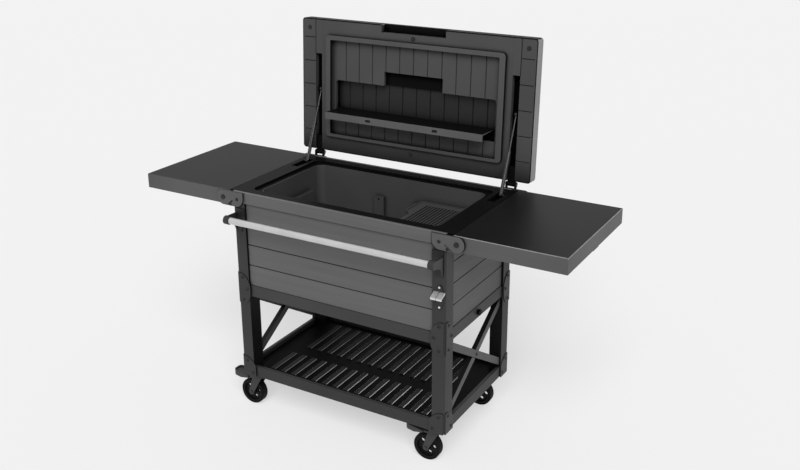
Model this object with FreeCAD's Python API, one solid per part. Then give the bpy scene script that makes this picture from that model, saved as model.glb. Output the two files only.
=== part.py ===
import FreeCAD, Part
import math
import os
from FreeCAD import Vector

# Beverage cooler cart, in millimetres.
# X runs along the cart to the right, the front faces -Y, Z is up and the floor is at zero.
# Everything is drawn about the middle of the four posts, with the lid drawn closed and then opened,
# and is moved along Y at the end so that the origin lies under the middle of the whole cart.

# Frame: posts, apron, box and lower shelf
TOP_Z = 900.0
CART_W = 884.0
CART_D = 524.0
POST_W = 51.0
POST_D = 59.0
POST_WALL = 4.0
POST_REBATE = 4.0
POST_BOTTOM = 145.0
APRON_H = 43.0
APRON_T = 12.0
PLANK_COUNT = 4
PLANK_H = 81.0
PANEL_T = 12.0
PANEL_INSET = 8.0
BOX_RAIL_H = 46.0
BOX_RAIL_T = 14.0
BOX_RAIL_INSET = 5.0
BOX_FLOOR_T = 10.0
SHELF_RAIL_H = 44.0
SHELF_RAIL_T = 14.0
SHELF_RAIL_INSET = 3.0
SHELF_RAIL_LIFT = 2.0
GRATE_T = 8.0
GRATE_DROP = 15.0
SLAT_PITCH = 48.0
SLAT_W = 20.0
SLAT_H = 4.0
SLAT_MARGIN = 30.0
SLAT_SPLIT_Y = -40.0
SLAT_SPLIT = 64.0
GROOVE_W = 5.0
GROOVE_DEPTH = 3.0
EDGE_BREAK = 2.0
FIT = 0.5
SEAT = 0.3
RUN = 0.05

# Rim and tub
RIM_OVER = 23.0
RIM_DROP = 1.0
TUB_INSET = 70.0
LEDGE_DROP = 9.5
MOUTH_STEP_END = 19.7
MOUTH_STEP_SIDE = 14.7
MOUTH_R = 25.0
TUB_R = 30.0
TUB_DRAFT = 14.0
TUB_WALL = 3.0
TUB_FLANGE = 14.0
FOAM_UNDER = 39.0
SUPPORT_DROP = 83.0
PILASTER_X = 85.0
PILASTER_W = 44.0
PILASTER_OUT = 15.0
PILASTER_HOLE_R = 4.0
PILASTER_HOLE_DROP = 10.0
PILASTER_HOLE_DEPTH = 8.0
END_LEDGE_OUT = 24.0
END_LEDGE_L = 220.0

# Tray standing on the pilasters and the end ledges
TRAY_L = 267.0
TRAY_T = 9.0
TRAY_RIB_H = 4.0
TRAY_LIP = 3.0
TRAY_LIP_W = 5.0
TRAY_GAP = 4.0
TRAY_SLOTS = 15
TRAY_PITCH = 13.4
TRAY_SLOT_W = 7.4
TRAY_EDGE = 28.0
TRAY_RIB_W = 12.0
TRAY_NOTCH_DEPTH = 26.0
TRAY_NOTCH_W = 146.0
TRAY_NOTCH_FLAT = 100.0

# Drop leaves
LEAF_GAP = 2.0
LEAF_L = 395.0
LEAF_SIDE = 2.0
LEAF_H = 56.0
LEAF_TOP_T = 6.0
LEAF_SKIRT_T = 6.0
LEAF_PIVOT_IN = 16.0
LEAF_RIB_T = 4.0
LEAF_RIB_H = 12.0
LEAF_RIBS_ALONG = 3
LEAF_RIBS_ACROSS = 3
LEAF_RIB_START = 34.0
LEAF_TAB_L = 10.0
LEAF_TAB_W = 50.0
LEAF_TAB_DROP = 5.0
PIN_R = 5.0
PIN_HEAD_R = 8.5
HINGE_PLATE_T = 7.0
HINGE_PLATE_TOP = 0.5
HINGE_PLATE_IN = 50.5
HINGE_PLATE_H = 57.0
HINGE_PLATE_CORNER = 34.0
HINGE_LOBE_R = 29.0
# Slanted joint line across the plate, as places from the pivot: along the cart and up
HINGE_LINE = {"upper": (-43.0, -8.0), "lower": (-15.0, -31.0)}

# Corner plates, braces and bolts
PLATE_T = 3.0
PLATE_W = 57.0
MID_PLATE_H = 122.0
FOOT_PLATE_H = 84.0
FOOT_PLATE_W = 61.0
MID_PLATE_LIFT = 6.0
BOLT_R = 6.0
BOLT_H = 3.0
BOLT_IN = 23.0
PLATE_BOLT_EDGE = 14.5
MID_BOLT_RISE = 46.0
FOOT_BOLT_RISE = 67.0
FOOT_BOLT_LOW = 17.0
HINGE_BOLT_IN = 27.5
HINGE_BOLT_OUT = 9.0
HINGE_BOLT_DROP = 21.0
# Inner edge of the middle plates, as shares of the width and of half the height, from the top down
MID_PLATE_EDGE = {
    "shoulder": (0.36, 1.0),
    "upper_bend": (0.80, 0.66),
    "bulge_top": (1.0, 0.16),
    "bulge_low": (1.0, -0.22),
    "lower_bend": (0.87, -0.70),
    "heel": (0.62, -1.0),
}
# Upper edge of the foot plates, as shares of the width and of the height
FOOT_PLATE_EDGE = {"shoulder": (0.25, 1.0), "bend": (0.72, 0.83), "tip": (1.0, 0.58)}
BRACE_W = 28.0
BRACE_T = 10.0
BRACE_REAR_T = 18.0
BRACE_STEP = 4.0
BRACE_LEAN = 31.9
BRACE_INSET = 7.0

# Handle and bottle opener
HANDLE_R = 13.0
HANDLE_WALL = 2.0
HANDLE_OUT = 58.0
HANDLE_DROP = 92.0
BRACKET_W = 22.0
BRACKET_EDGE = 8.0
BRACKET_NOSE = 3.0
BRACKET_NECK = 13.0
BRACKET_RISE = 11.0
BRACKET_FALL = 62.0
BRACKET_THROAT = 26.0
BRACKET_THROAT_IN = 34.0
BRACKET_END_WALL = 7.0
BASE_T = 3.0
BASE_RISE = 30.0
BASE_TAPER = 18.0
OPENER_DROP = 218.5
OPENER_ASIDE = 4.5
OPENER_W = 42.0
OPENER_OUT = 28.0
OPENER_H = 21.0
OPENER_T = 3.0
OPENER_GROOVE = 4.0
OPENER_PLATE_W = 34.0
OPENER_PLATE_H = 88.0
OPENER_PLATE_LOW = 10.5
OPENER_PLATE_TIP = 9.0
OPENER_SLOPE_H = 14.0
OPENER_SCREW_SPAN = 72.0
SCREW_R = 4.0
SCREW_H = 2.5

# Drain
DRAIN_R = 9.0
DRAIN_BORE = 6.0
DRAIN_IN = 46.0
DRAIN_PROUD = 4.0
CAP_R = 11.0
CAP_L = 6.0
CAP_STUB = 12.0
CAP_FLATS = 8

# Lid, drawn closed
LID_OVER = 41.5
LID_FRONT = 1.0
LID_BACK = 4.0
LID_T = 50.0
LID_CLEAR = 4.0
LID_OPEN = 93.0
LID_WALL = 4.0
LID_CORNER = 12.0
LID_EDGE = 6.0
LINER_T = 5.0
POCKET_WALL = 4.0
HINGE_BEHIND = 17.0
HINGE_ABOVE = 12.0
HINGE_PIN_R = 4.0
KNUCKLE_R = 9.0
EAR_W = 6.0
HINGE_ARM_IN = 56.0
HINGE_BASE_T = 3.0
HINGE_BASE_H = 16.0
STRUT_SLOT_IN = 13.0
STRUT_SLOT_W = 30.0
STRUT_SLOT_END = 392.0
STRUT_SLOT_DEPTH = 36.0
SEAL_GAP = 5.5
SEAL_SIDE = 24.0
SEAL_BACK = 15.0
SEAL_FRONT = 19.0
SEAL_H = 14.0
SEAL_R = 16.0
SEAL_EDGE = 4.0
FIELD_DEPTH = 8.0
FIELD_PLANKS = 12
NICHE_SIDE = 13.5
NICHE_END = 293.0
NICHE_DEPTH = 38.0
NICHE_R = 14.0
END_POCKET_W = 50.0
END_POCKET_START = 135.0
END_POCKET_DEPTH = 30.0
NOTCH_W = 256.0
NOTCH_END = 347.0
NOTCH_DEPTH = 30.0
GRIP_W = 278.0
GRIP_L = 30.0
GRIP_DEPTH = 24.0
BAND_LINE_FIRST = 78.0
BAND_LINE_PITCH = 94.0
BAND_LINES = 5
LID_TOP_PLANKS = 6
BUMPER_IN = 34.5
BUMPER_EDGE = 36.0
BUMPER_R = 8.0
BUMPER_H = 3.0

# Fold-down shelf in the lid
LID_SHELF_SIDE = 9.0
LID_SHELF_OUT = 82.0
LID_SHELF_T = 6.0
LID_SHELF_V = 176.0
LID_SHELF_PIVOT_DEPTH = 33.0
LID_SHELF_LIP = 28.0
LID_SHELF_LIP_T = 5.0
LID_SHELF_SLOT_X = 146.0
LID_SHELF_SLOT_W = 22.0
LID_SHELF_SLOT_H = 9.0
TRUNNION_R = 2.5

# Gas struts
STRUT_LOW_IN = 74.0
STRUT_LOW_DROP = 4.0
STRUT_TOP_V = 247.0
STRUT_TOP_DEPTH = 18.4
CYLINDER_R = 7.0
CYLINDER_L = 162.0
CYLINDER_BORE = 5.6
CYLINDER_FOOT = 14.0
GLAND_L = 5.0
ROD_R = 3.5
ROD_L = 153.0
PISTON_L = 6.0
EYE_R = 8.0
EYE_W = 8.0
STUD_R = 4.0
STRUT_POCKET_L = 88.0
STRUT_POCKET_END = 17.0
STRUT_POCKET_DEPTH = 19.0

# Casters
CASTER_X_IN = 48.0
CASTER_Y_IN = 49.0
CASTER_PLATE = 78.0
CASTER_PLATE_T = 4.0
KING_PIN_R = 5.0
TRAIL = 41.0
WHEEL_R = 52.5
WHEEL_W = 32.0
TREAD_T = 9.0
TREAD_EDGE = 4.0
HUB_R = 13.0
WEB_T = 8.0
WEB_HOLES = 5
WEB_HOLE_R = 7.5
AXLE_R = 5.0
FORK_T = 4.0
FORK_GAP = 2.5
FORK_HEAD_R = 27.0
FORK_NECK = 16.0
FORK_HEAD_T = 9.0
FORK_FOOT_R = 12.0
RACE_H = 6.0
RACE_R = 22.0
PEDAL_REACH = 125.0
PEDAL_W = 48.0
PEDAL_T = 8.0
PEDAL_PIVOT_BACK = 18.0
PEDAL_PIVOT_RISE = 12.0
PEDAL_PIN_R = 3.0
PEDAL_HUB_R = 5.5
PEDAL_PAD_L = 72.0
PEDAL_PAD_RISE = 12.0
PEDAL_PAD_SAG = 6.0
PEDAL_TIP_R = 16.0
PEDAL_DISH = 5.0
PEDAL_RIM = 4.0

# Places worked out from the sizes above
HALF_W = CART_W / 2
HALF_D = CART_D / 2
POST_IN_X = HALF_W - POST_W
POST_IN_Y = HALF_D - POST_D
POST_MID_X = HALF_W - POST_W / 2
RIM_Z = TOP_Z - APRON_H
PANEL_Z = RIM_Z - PLANK_COUNT * PLANK_H
BOX_Z = PANEL_Z - BOX_RAIL_H
SHELF_RAIL_Z = POST_BOTTOM + SHELF_RAIL_LIFT
SHELF_RAIL_TOP = SHELF_RAIL_Z + SHELF_RAIL_H
GRATE_TOP = SHELF_RAIL_TOP - GRATE_DROP
LEDGE_Z = TOP_Z - RIM_DROP - LEDGE_DROP
RIM_W = CART_W + 2 * RIM_OVER
TUB_W = CART_W - 2 * TUB_INSET
TUB_D = CART_D - 2 * TUB_INSET
THROAT_STEP = TUB_WALL + SEAT
LEDGE_W = TUB_W + 2 * THROAT_STEP
LEDGE_D = TUB_D + 2 * THROAT_STEP
MOUTH_W = LEDGE_W + 2 * MOUTH_STEP_END
MOUTH_D = LEDGE_D + 2 * MOUTH_STEP_SIDE
SUPPORT_Z = LEDGE_Z - SUPPORT_DROP
TUB_FLOOR_Z = BOX_Z + BOX_FLOOR_T + FOAM_UNDER
FOAM_TOP = RIM_Z - TUB_WALL
MID_PLATE_Z = (BOX_Z + PANEL_Z) / 2 + MID_PLATE_LIFT
LEAF_D = CART_D - 2 * LEAF_SIDE
LEAF_IN = RIM_W / 2 + LEAF_GAP
LEAF_OUT = LEAF_IN + LEAF_L
LEAF_PIVOT_X = LEAF_IN + LEAF_PIVOT_IN
LEAF_PIVOT_Z = TOP_Z - LEAF_H / 2
LID_W = RIM_W + 2 * LID_OVER
LID_L = CART_D + LID_BACK + LID_FRONT
LID_Z = TOP_Z + LID_CLEAR
LID_BACK_Y = HALF_D + LID_BACK
HINGE_Y = HALF_D + HINGE_BEHIND
HINGE_Z = TOP_Z + HINGE_ABOVE
HANDLE_Y = -HALF_D - HANDLE_OUT
HANDLE_Z = TOP_Z - HANDLE_DROP
OPENER_X = POST_MID_X + OPENER_ASIDE
OPENER_Z = TOP_Z - OPENER_DROP
DRAIN_X = TUB_W / 2 - DRAIN_IN
DRAIN_Z = BOX_Z + BOX_RAIL_H / 2
BRACKET_IN = HALF_W - BRACKET_EDGE - BRACKET_W
STRUT_LOW_Y = HALF_D - STRUT_LOW_IN
STRUT_LOW_Z = TOP_Z - STRUT_LOW_DROP
STRUT_POCKET_Y = STRUT_LOW_Y - STRUT_POCKET_L
STRUT_SLOT_X = HALF_W - STRUT_SLOT_IN
KNUCKLE_W = STRUT_SLOT_W - 2 * SEAT
BAND_IN = STRUT_SLOT_X - STRUT_SLOT_W / 2 - POCKET_WALL
SEAL_W = MOUTH_W - 2 * SEAL_GAP
SEAL_START = LID_BACK_Y - MOUTH_D / 2 + SEAL_GAP
SEAL_END = LID_BACK_Y + MOUTH_D / 2 - SEAL_GAP
FIELD_W = SEAL_W - 2 * SEAL_SIDE
FIELD_START = SEAL_START + SEAL_BACK
FIELD_END = SEAL_END - SEAL_FRONT
NICHE_W = FIELD_W - 2 * NICHE_SIDE
LID_SHELF_W = NICHE_W - 2 * LID_SHELF_SIDE
BUMPER_X = LID_W / 2 - BUMPER_IN
BUMPER_V = LID_L - BUMPER_EDGE
CASTER_X = HALF_W - CASTER_X_IN
CASTER_Y = HALF_D - CASTER_Y_IN
SUPPORT_TAPER = TUB_DRAFT * SUPPORT_DROP / (LEDGE_Z - TUB_FLOOR_Z)
TRAY_RIGHT = TUB_W / 2 - TRAY_GAP - SUPPORT_TAPER
TRAY_HALF_D = TRAY_RIGHT - (TUB_W - TUB_D) / 2
TRAY_Z = SUPPORT_Z + SEAT
X_AXIS = Vector(1, 0, 0)
Y_AXIS = Vector(0, 1, 0)
Z_AXIS = Vector(0, 0, 1)
ORIGIN = Vector(0, 0, 0)
SIDES = (-1, 1)
CORNERS = [(side, end) for end in SIDES for side in SIDES]


def box(xs, ys, zs):
    """Block between two values on each axis, in either order."""
    low = Vector(min(xs), min(ys), min(zs))
    return Part.makeBox(abs(xs[1] - xs[0]), abs(ys[1] - ys[0]), abs(zs[1] - zs[0]), low)


def rod(radius, start, end):
    """Round bar from one point to another."""
    run = end.sub(start)
    return Part.makeCylinder(radius, run.Length, start, run)


def fuse(shapes):
    """One solid from overlapping or touching shapes."""
    return shapes[0].multiFuse(shapes[1:]).removeSplitter()


def cut(shape, tools):
    """The shape with all tools taken away."""
    return shape.cut(Part.makeCompound(tools))


def extrude(edges, run):
    """Solid from a closed outline of edges, pushed along a vector."""
    return Part.Face(Part.Wire(edges)).extrude(run)


def polygon(points):
    """Edges of a closed straight-sided outline."""
    ends = points[1:] + points[:1]
    return [Part.LineSegment(a, b).toShape() for a, b in zip(points, ends)]


def arc(start, middle, end):
    """Edge on the circle through three points."""
    return Part.Arc(start, middle, end).toShape()


def line(start, end):
    """Straight edge."""
    return Part.LineSegment(start, end).toShape()


def rounded_outline(width, depth, radius, z, y=0.0):
    """Closed outline of a rectangle with round corners, centred on X, at one height."""
    x, d, k = width / 2, depth / 2, radius * (1 - math.sqrt(0.5))
    edges = []
    turns = [(1, -1), (1, 1), (-1, 1), (-1, -1)]
    for sx, sy in turns:
        if sx * sy < 0:
            first, last = Vector(sx * (x - radius), y + sy * d, z), Vector(sx * x, y + sy * (d - radius), z)
        else:
            first, last = Vector(sx * x, y + sy * (d - radius), z), Vector(sx * (x - radius), y + sy * d, z)
        middle = Vector(sx * (x - k), y + sy * (d - k), z)
        edges.append((first, middle, last))
    wire = []
    for index, (first, middle, last) in enumerate(edges):
        wire.append(arc(first, middle, last))
        wire.append(line(last, edges[(index + 1) % len(edges)][0]))
    return wire


def rounded_block(width, depth, radius, z0, z1, y=0.0):
    """Upright block with round corners."""
    return extrude(rounded_outline(width, depth, radius, z0, y), Vector(0, 0, z1 - z0))


def groove(start, end, inward):
    """V-shaped cutter for a board joint that runs from start to end on a face."""
    run = end.sub(start)
    across = run.cross(inward).normalize()
    spread = GROOVE_W / 2 * (1 + EDGE_BREAK / GROOVE_DEPTH)
    lift = inward * -EDGE_BREAK
    tip = start + inward * GROOVE_DEPTH
    return extrude(polygon([start + across * spread + lift, start - across * spread + lift, tip]), run)


def mirrored(shape, normal):
    """Mirror image of a shape about the plane through the origin."""
    return shape.mirror(ORIGIN, normal)


def at_corners(shape):
    """Copies of a right rear shape at all four corners, in the order of CORNERS."""
    copies = []
    for side, end in CORNERS:
        copy = shape if side > 0 else mirrored(shape, X_AXIS)
        copies.append(copy if end > 0 else mirrored(copy, Y_AXIS))
    return copies


def post_blocks(clearance):
    """Solid stand-ins for the posts, grown by a clearance, to cut room for them."""
    reach = POST_W + clearance
    depth = POST_D + clearance
    block = box((HALF_W - reach, HALF_W + FIT), (HALF_D - depth, HALF_D + FIT), (0, TOP_Z))
    return at_corners(block)


def posts():
    """Hollow corner posts with a small rebate down the outer corner."""
    outer = box((POST_IN_X, HALF_W), (POST_IN_Y, HALF_D), (POST_BOTTOM, RIM_Z))
    inner = box((POST_IN_X + POST_WALL, HALF_W - POST_WALL - POST_REBATE),
                (POST_IN_Y + POST_WALL, HALF_D - POST_WALL - POST_REBATE), (POST_BOTTOM, RIM_Z))
    rebate = box((HALF_W - POST_REBATE, HALF_W), (HALF_D - POST_REBATE, HALF_D), (POST_BOTTOM, RIM_Z))
    names = ["post_front_left", "post_front_right", "post_rear_left", "post_rear_right"]
    return dict(zip(names, at_corners(cut(outer, [inner, rebate]))))


def long_panel():
    """Boarded rear panel between the posts, grooved on its outer face."""
    face = HALF_D - PANEL_INSET
    width = POST_IN_X - FIT
    panel = box((-width, width), (face - PANEL_T, face), (PANEL_Z, RIM_Z))
    joints = []
    for index in range(1, PLANK_COUNT):
        z = PANEL_Z + index * PLANK_H
        joints.append(groove(Vector(-width, face, z), Vector(width, face, z), Vector(0, -1, 0)))
    return cut(panel, joints)


def short_panel():
    """Boarded right panel between the posts."""
    face = HALF_W - PANEL_INSET
    depth = POST_IN_Y - FIT
    panel = box((face - PANEL_T, face), (-depth, depth), (PANEL_Z, RIM_Z))
    joints = []
    for index in range(1, PLANK_COUNT):
        z = PANEL_Z + index * PLANK_H
        joints.append(groove(Vector(face, -depth, z), Vector(face, depth, z), Vector(-1, 0, 0)))
    return cut(panel, joints)


def apron():
    """Rear board under the worktop edge, with its top outer edge broken and a seam beside each plate."""
    width = HALF_W - FIT
    board = box((-width, width), (HALF_D - APRON_T, HALF_D), (RIM_Z, TOP_Z))
    edges = [e for e in board.Edges if e.BoundBox.ZMin > TOP_Z - 1 and e.BoundBox.YMin > HALF_D - 1]
    board = board.makeChamfer(EDGE_BREAK, edges)
    seams = []
    for side in SIDES:
        x = side * (HALF_W - HINGE_PLATE_IN - GROOVE_W / 2)
        seams.append(groove(Vector(x, HALF_D, RIM_Z), Vector(x, HALF_D, TOP_Z), Vector(0, -1, 0)))
    return cut(board, seams)


def box_rails():
    """Bottom rails of the cooler box: the two long ones and the two short ones."""
    y = HALF_D - BOX_RAIL_INSET
    x = HALF_W - BOX_RAIL_INSET
    rear = box((-POST_IN_X, POST_IN_X), (y - BOX_RAIL_T, y), (BOX_Z, PANEL_Z))
    right = box((x - BOX_RAIL_T, x), (-POST_IN_Y, POST_IN_Y), (BOX_Z, PANEL_Z))
    outlet = rod(DRAIN_R + RUN, Vector(x - BOX_RAIL_T, 0, DRAIN_Z), Vector(x, 0, DRAIN_Z))
    long_rails = [mirrored(rear, Y_AXIS), rear]
    short_rails = [mirrored(right, X_AXIS), right.cut(outlet)]
    return Part.makeCompound(long_rails), Part.makeCompound(short_rails)


def box_floor():
    """Board that closes the box from below, inside the rails."""
    x = HALF_W - BOX_RAIL_INSET - BOX_RAIL_T - FIT
    y = HALF_D - BOX_RAIL_INSET - BOX_RAIL_T - FIT
    board = box((-x, x), (-y, y), (BOX_Z, BOX_Z + BOX_FLOOR_T))
    return cut(board, post_blocks(FIT))


def tub_core(grow, z0, z1):
    """Tapered inside of the tub, grown outwards, between two heights."""
    def outline(z):
        taper = TUB_DRAFT * (LEDGE_Z - z) / (LEDGE_Z - TUB_FLOOR_Z)
        width = TUB_W + 2 * grow - 2 * taper
        depth = TUB_D + 2 * grow - 2 * taper
        return Part.Wire(rounded_outline(width, depth, TUB_R + grow, z))
    return Part.makeLoft([outline(z0), outline(z1)], True, True)


def drain_path(radius):
    """Upright and level legs of the drain, as one tool of a given radius."""
    corner = Vector(DRAIN_X, 0, DRAIN_Z)
    down = rod(radius, Vector(DRAIN_X, 0, TUB_FLOOR_Z), corner)
    knee = Part.makeSphere(radius, corner)
    out = rod(radius, corner, Vector(HALF_W - BOX_RAIL_INSET + DRAIN_PROUD, 0, DRAIN_Z))
    return fuse([down, knee, out])


def tub_regions():
    """Spaces of the tub's floor, its four walls and the two halves of each round corner."""
    x = TUB_W / 2 - TUB_R - TUB_DRAFT
    y = TUB_D / 2 - TUB_R - TUB_DRAFT
    reach = TUB_R + TUB_DRAFT + TUB_FLANGE
    heights = (TUB_FLOOR_Z, LEDGE_Z)
    rise = Vector(0, 0, LEDGE_Z - TUB_FLOOR_Z)
    regions = [box((-x - reach, x + reach), (-y - reach, y + reach), (TUB_FLOOR_Z - TUB_WALL, TUB_FLOOR_Z))]
    for side in SIDES:
        regions.append(box((side * x, side * (x + reach)), (-y, y), heights))
        regions.append(box((-x, x), (side * y, side * (y + reach)), heights))
        for end in SIDES:
            inner = Vector(side * x, end * y, TUB_FLOOR_Z)
            outer = inner + Vector(side * reach, end * reach, 0)
            for step in (Vector(side * reach, 0, 0), Vector(0, end * reach, 0)):
                regions.append(extrude(polygon([inner, inner + step, outer]), rise))
    return regions


def tub_liner():
    """Tub that rises through the rim, with a flange below it and wall pilasters, in panels edge to edge."""
    shell = tub_core(TUB_WALL, TUB_FLOOR_Z - TUB_WALL, LEDGE_Z)
    flange_w = TUB_W + 2 * TUB_FLANGE
    flange_d = TUB_D + 2 * TUB_FLANGE
    flange = rounded_block(flange_w, flange_d, TUB_R + TUB_FLANGE, FOAM_TOP, RIM_Z)
    hollow = tub_core(0, TUB_FLOOR_Z, LEDGE_Z)
    tub = fuse([shell, flange]).cut(hollow)
    wall_y = TUB_D / 2 - SUPPORT_TAPER
    supports = []
    for side in SIDES:
        x = side * PILASTER_X
        for end in SIDES:
            face = end * (wall_y - PILASTER_OUT)
            block = box((x - PILASTER_W / 2, x + PILASTER_W / 2), (face, end * TUB_D / 2),
                        (TUB_FLOOR_Z, SUPPORT_Z))
            eye = Vector(x, face, SUPPORT_Z - PILASTER_HOLE_DROP)
            hole = rod(PILASTER_HOLE_R, eye, eye + Vector(0, end * PILASTER_HOLE_DEPTH, 0))
            supports.append(block.cut(hole))
    inside = tub_core(TUB_WALL / 2, TUB_FLOOR_Z, LEDGE_Z)
    kept = [support.common(inside) for support in supports]
    seat = rod(DRAIN_R + SEAT, Vector(DRAIN_X, 0, TUB_FLOOR_Z - TUB_WALL), Vector(DRAIN_X, 0, TUB_FLOOR_Z))
    whole = fuse([tub] + kept).cut(seat)
    panels = [panel for region in tub_regions() for panel in whole.common(region).Solids]
    return Part.makeCompound(panels)


def tub_steps():
    """Step against each end wall of the tub, level with the pilasters, for the end of the tray."""
    wall_x = TUB_W / 2 - SUPPORT_TAPER
    hollow = tub_core(0, TUB_FLOOR_Z, LEDGE_Z)
    steps = []
    for side in SIDES:
        block = box((side * (wall_x - END_LEDGE_OUT), side * TUB_W / 2),
                    (-END_LEDGE_L / 2, END_LEDGE_L / 2), (TUB_FLOOR_Z, SUPPORT_Z))
        steps.append(block.common(hollow))
    return Part.makeCompound(steps)


def tub_foam():
    """Insulation that fills the box round the tub."""
    x = HALF_W - PANEL_INSET - PANEL_T - FIT
    y = HALF_D - PANEL_INSET - PANEL_T - FIT
    block = box((-x, x), (-y, y), (BOX_Z + BOX_FLOOR_T, FOAM_TOP))
    room = tub_core(TUB_WALL + SEAT, TUB_FLOOR_Z - TUB_WALL - SEAT, RIM_Z)
    return cut(block, post_blocks(FIT) + [room, drain_path(DRAIN_R + SEAT)])


def drain_spout():
    """Elbow that leads from the tub floor out through the right bottom rail."""
    bore = drain_path(DRAIN_BORE)
    return drain_path(DRAIN_R).cut(bore)


def drain_cap():
    """Ribbed cap with a stub that turns in the mouth of the drain."""
    mouth = HALF_W - BOX_RAIL_INSET + DRAIN_PROUD + SEAT
    head = rod(CAP_R, Vector(mouth, 0, DRAIN_Z), Vector(mouth + CAP_L, 0, DRAIN_Z))
    flutes = []
    for index in range(CAP_FLATS):
        turn = 2 * math.pi * index / CAP_FLATS
        spot = Vector(mouth, CAP_R * math.cos(turn), DRAIN_Z + CAP_R * math.sin(turn))
        flutes.append(rod(CAP_R / CAP_FLATS, spot, spot + Vector(CAP_L, 0, 0)))
    stub = rod(DRAIN_BORE - RUN, Vector(mouth - CAP_STUB, 0, DRAIN_Z), Vector(mouth, 0, DRAIN_Z))
    return fuse([cut(head, flutes), stub])


def rim_frame():
    """Rim round the tub mouth, with a seal ledge and pockets for the feet of the struts."""
    top = TOP_Z - RIM_DROP
    depth = CART_D - 2 * APRON_T
    ring = box((-RIM_W / 2, RIM_W / 2), (-depth / 2, depth / 2), (RIM_Z, top))
    mouth = rounded_block(MOUTH_W, MOUTH_D, MOUTH_R, LEDGE_Z, top)
    throat = rounded_block(LEDGE_W, LEDGE_D, TUB_R + THROAT_STEP, RIM_Z, top)
    tools = [mouth.fuse(throat)]
    for side in SIDES:
        x = side * STRUT_SLOT_X
        half = STRUT_SLOT_W / 2
        tools.append(box((x - half, x + half), (STRUT_POCKET_Y, STRUT_LOW_Y + STRUT_POCKET_END),
                         (top - STRUT_POCKET_DEPTH, top)))
    return cut(ring, tools)


def shelf_rails():
    """Lower rails: front, rear and the pair on the short sides."""
    y = HALF_D - SHELF_RAIL_INSET
    x = HALF_W - SHELF_RAIL_INSET
    zs = (SHELF_RAIL_Z, SHELF_RAIL_TOP)
    rear = box((-POST_IN_X, POST_IN_X), (y - SHELF_RAIL_T, y), zs)
    right = box((x - SHELF_RAIL_T, x), (-POST_IN_Y, POST_IN_Y), zs)
    return mirrored(rear, Y_AXIS), rear, Part.makeCompound([mirrored(right, X_AXIS), right])


def shelf_grate():
    """Lower shelf let in between the rails: a plate with two staggered rows of raised slats."""
    x = HALF_W - SHELF_RAIL_INSET - SHELF_RAIL_T
    y = HALF_D - SHELF_RAIL_INSET - SHELF_RAIL_T
    floor = GRATE_TOP - SLAT_H
    plate = box((-x, x), (-y, y), (floor - GRATE_T, floor))
    count = int((2 * POST_IN_X - SLAT_W) / SLAT_PITCH)
    rows = [(count, SLAT_MARGIN - y, SLAT_SPLIT_Y - SLAT_SPLIT / 2),
            (count - 1, SLAT_SPLIT_Y + SLAT_SPLIT / 2, y - SLAT_MARGIN)]
    slats = []
    for number, start, end in rows:
        for index in range(number):
            middle = (index - (number - 1) / 2) * SLAT_PITCH
            slats.append(box((middle - SLAT_W / 2, middle + SLAT_W / 2), (start, end), (floor, GRATE_TOP)))
    return cut(fuse([plate] + slats), post_blocks(0))


def brace_bar(outer, thickness, lean):
    """Leaning flat bar between the posts of the right side, with its outer face at one place."""
    length = 2 * POST_IN_Y / math.cos(math.radians(lean)) + 2 * BRACE_W
    bar = box((outer - thickness, outer), (-length / 2, length / 2), (-BRACE_W / 2, BRACE_W / 2))
    bar.rotate(ORIGIN, X_AXIS, lean)
    bar.translate(Vector(0, 0, (BOX_Z + SHELF_RAIL_TOP) / 2))
    bay = box((outer - thickness, outer), (-POST_IN_Y, POST_IN_Y), (SHELF_RAIL_TOP, BOX_Z))
    return bar.common(bay)


def brace_pair():
    """Two crossing bars in the open part of the right side, the deeper one notched behind the other."""
    outer = HALF_W - BRACE_INSET
    front = brace_bar(outer, BRACE_T, -BRACE_LEAN)
    rear = brace_bar(outer - BRACE_STEP, BRACE_REAR_T, BRACE_LEAN)
    return [front, rear.cut(front)]


def mid_plate(corner, along, proud):
    """Plate with an S-shaped inner edge over the joint of post and box rail."""
    half = MID_PLATE_H / 2
    top = corner + along * POST_REBATE + Z_AXIS * half
    bottom = corner + along * POST_REBATE - Z_AXIS * half
    spots = {}
    for name, (across, up) in MID_PLATE_EDGE.items():
        spots[name] = corner + along * (across * PLATE_W) + Z_AXIS * (up * half)
    edges = [
        line(top, spots["shoulder"]),
        arc(spots["shoulder"], spots["upper_bend"], spots["bulge_top"]),
        line(spots["bulge_top"], spots["bulge_low"]),
        arc(spots["bulge_low"], spots["lower_bend"], spots["heel"]),
        line(spots["heel"], bottom),
        line(bottom, top),
    ]
    return extrude(edges, proud * PLATE_T)


def foot_plate(corner, along, proud):
    """Plate at the foot of a post, with a curved upper edge that runs down to the shelf rail."""
    start = corner + along * POST_REBATE
    top = start + Z_AXIS * FOOT_PLATE_H
    foot = corner + along * FOOT_PLATE_W
    spots = {}
    for name, (across, up) in FOOT_PLATE_EDGE.items():
        spots[name] = corner + along * (across * FOOT_PLATE_W) + Z_AXIS * (up * FOOT_PLATE_H)
    edges = [
        line(start, top),
        line(top, spots["shoulder"]),
        arc(spots["shoulder"], spots["bend"], spots["tip"]),
        line(spots["tip"], foot),
        line(foot, start),
    ]
    return extrude(edges, proud * PLATE_T)


def corner_plates():
    """Front or rear plate and side plate at each post, at the middle and at the foot."""
    mid_corner = Vector(HALF_W, HALF_D, MID_PLATE_Z)
    foot_corner = Vector(HALF_W, HALF_D, POST_BOTTOM)
    inward = Vector(-1, 0, 0)
    forward = Vector(0, -1, 0)
    mids = at_corners(mid_plate(mid_corner, inward, Y_AXIS))
    mids += at_corners(mid_plate(mid_corner, forward, X_AXIS))
    feet = at_corners(foot_plate(foot_corner, inward, Y_AXIS))
    feet += at_corners(foot_plate(foot_corner, forward, X_AXIS))
    return Part.makeCompound(mids), Part.makeCompound(feet)


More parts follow.
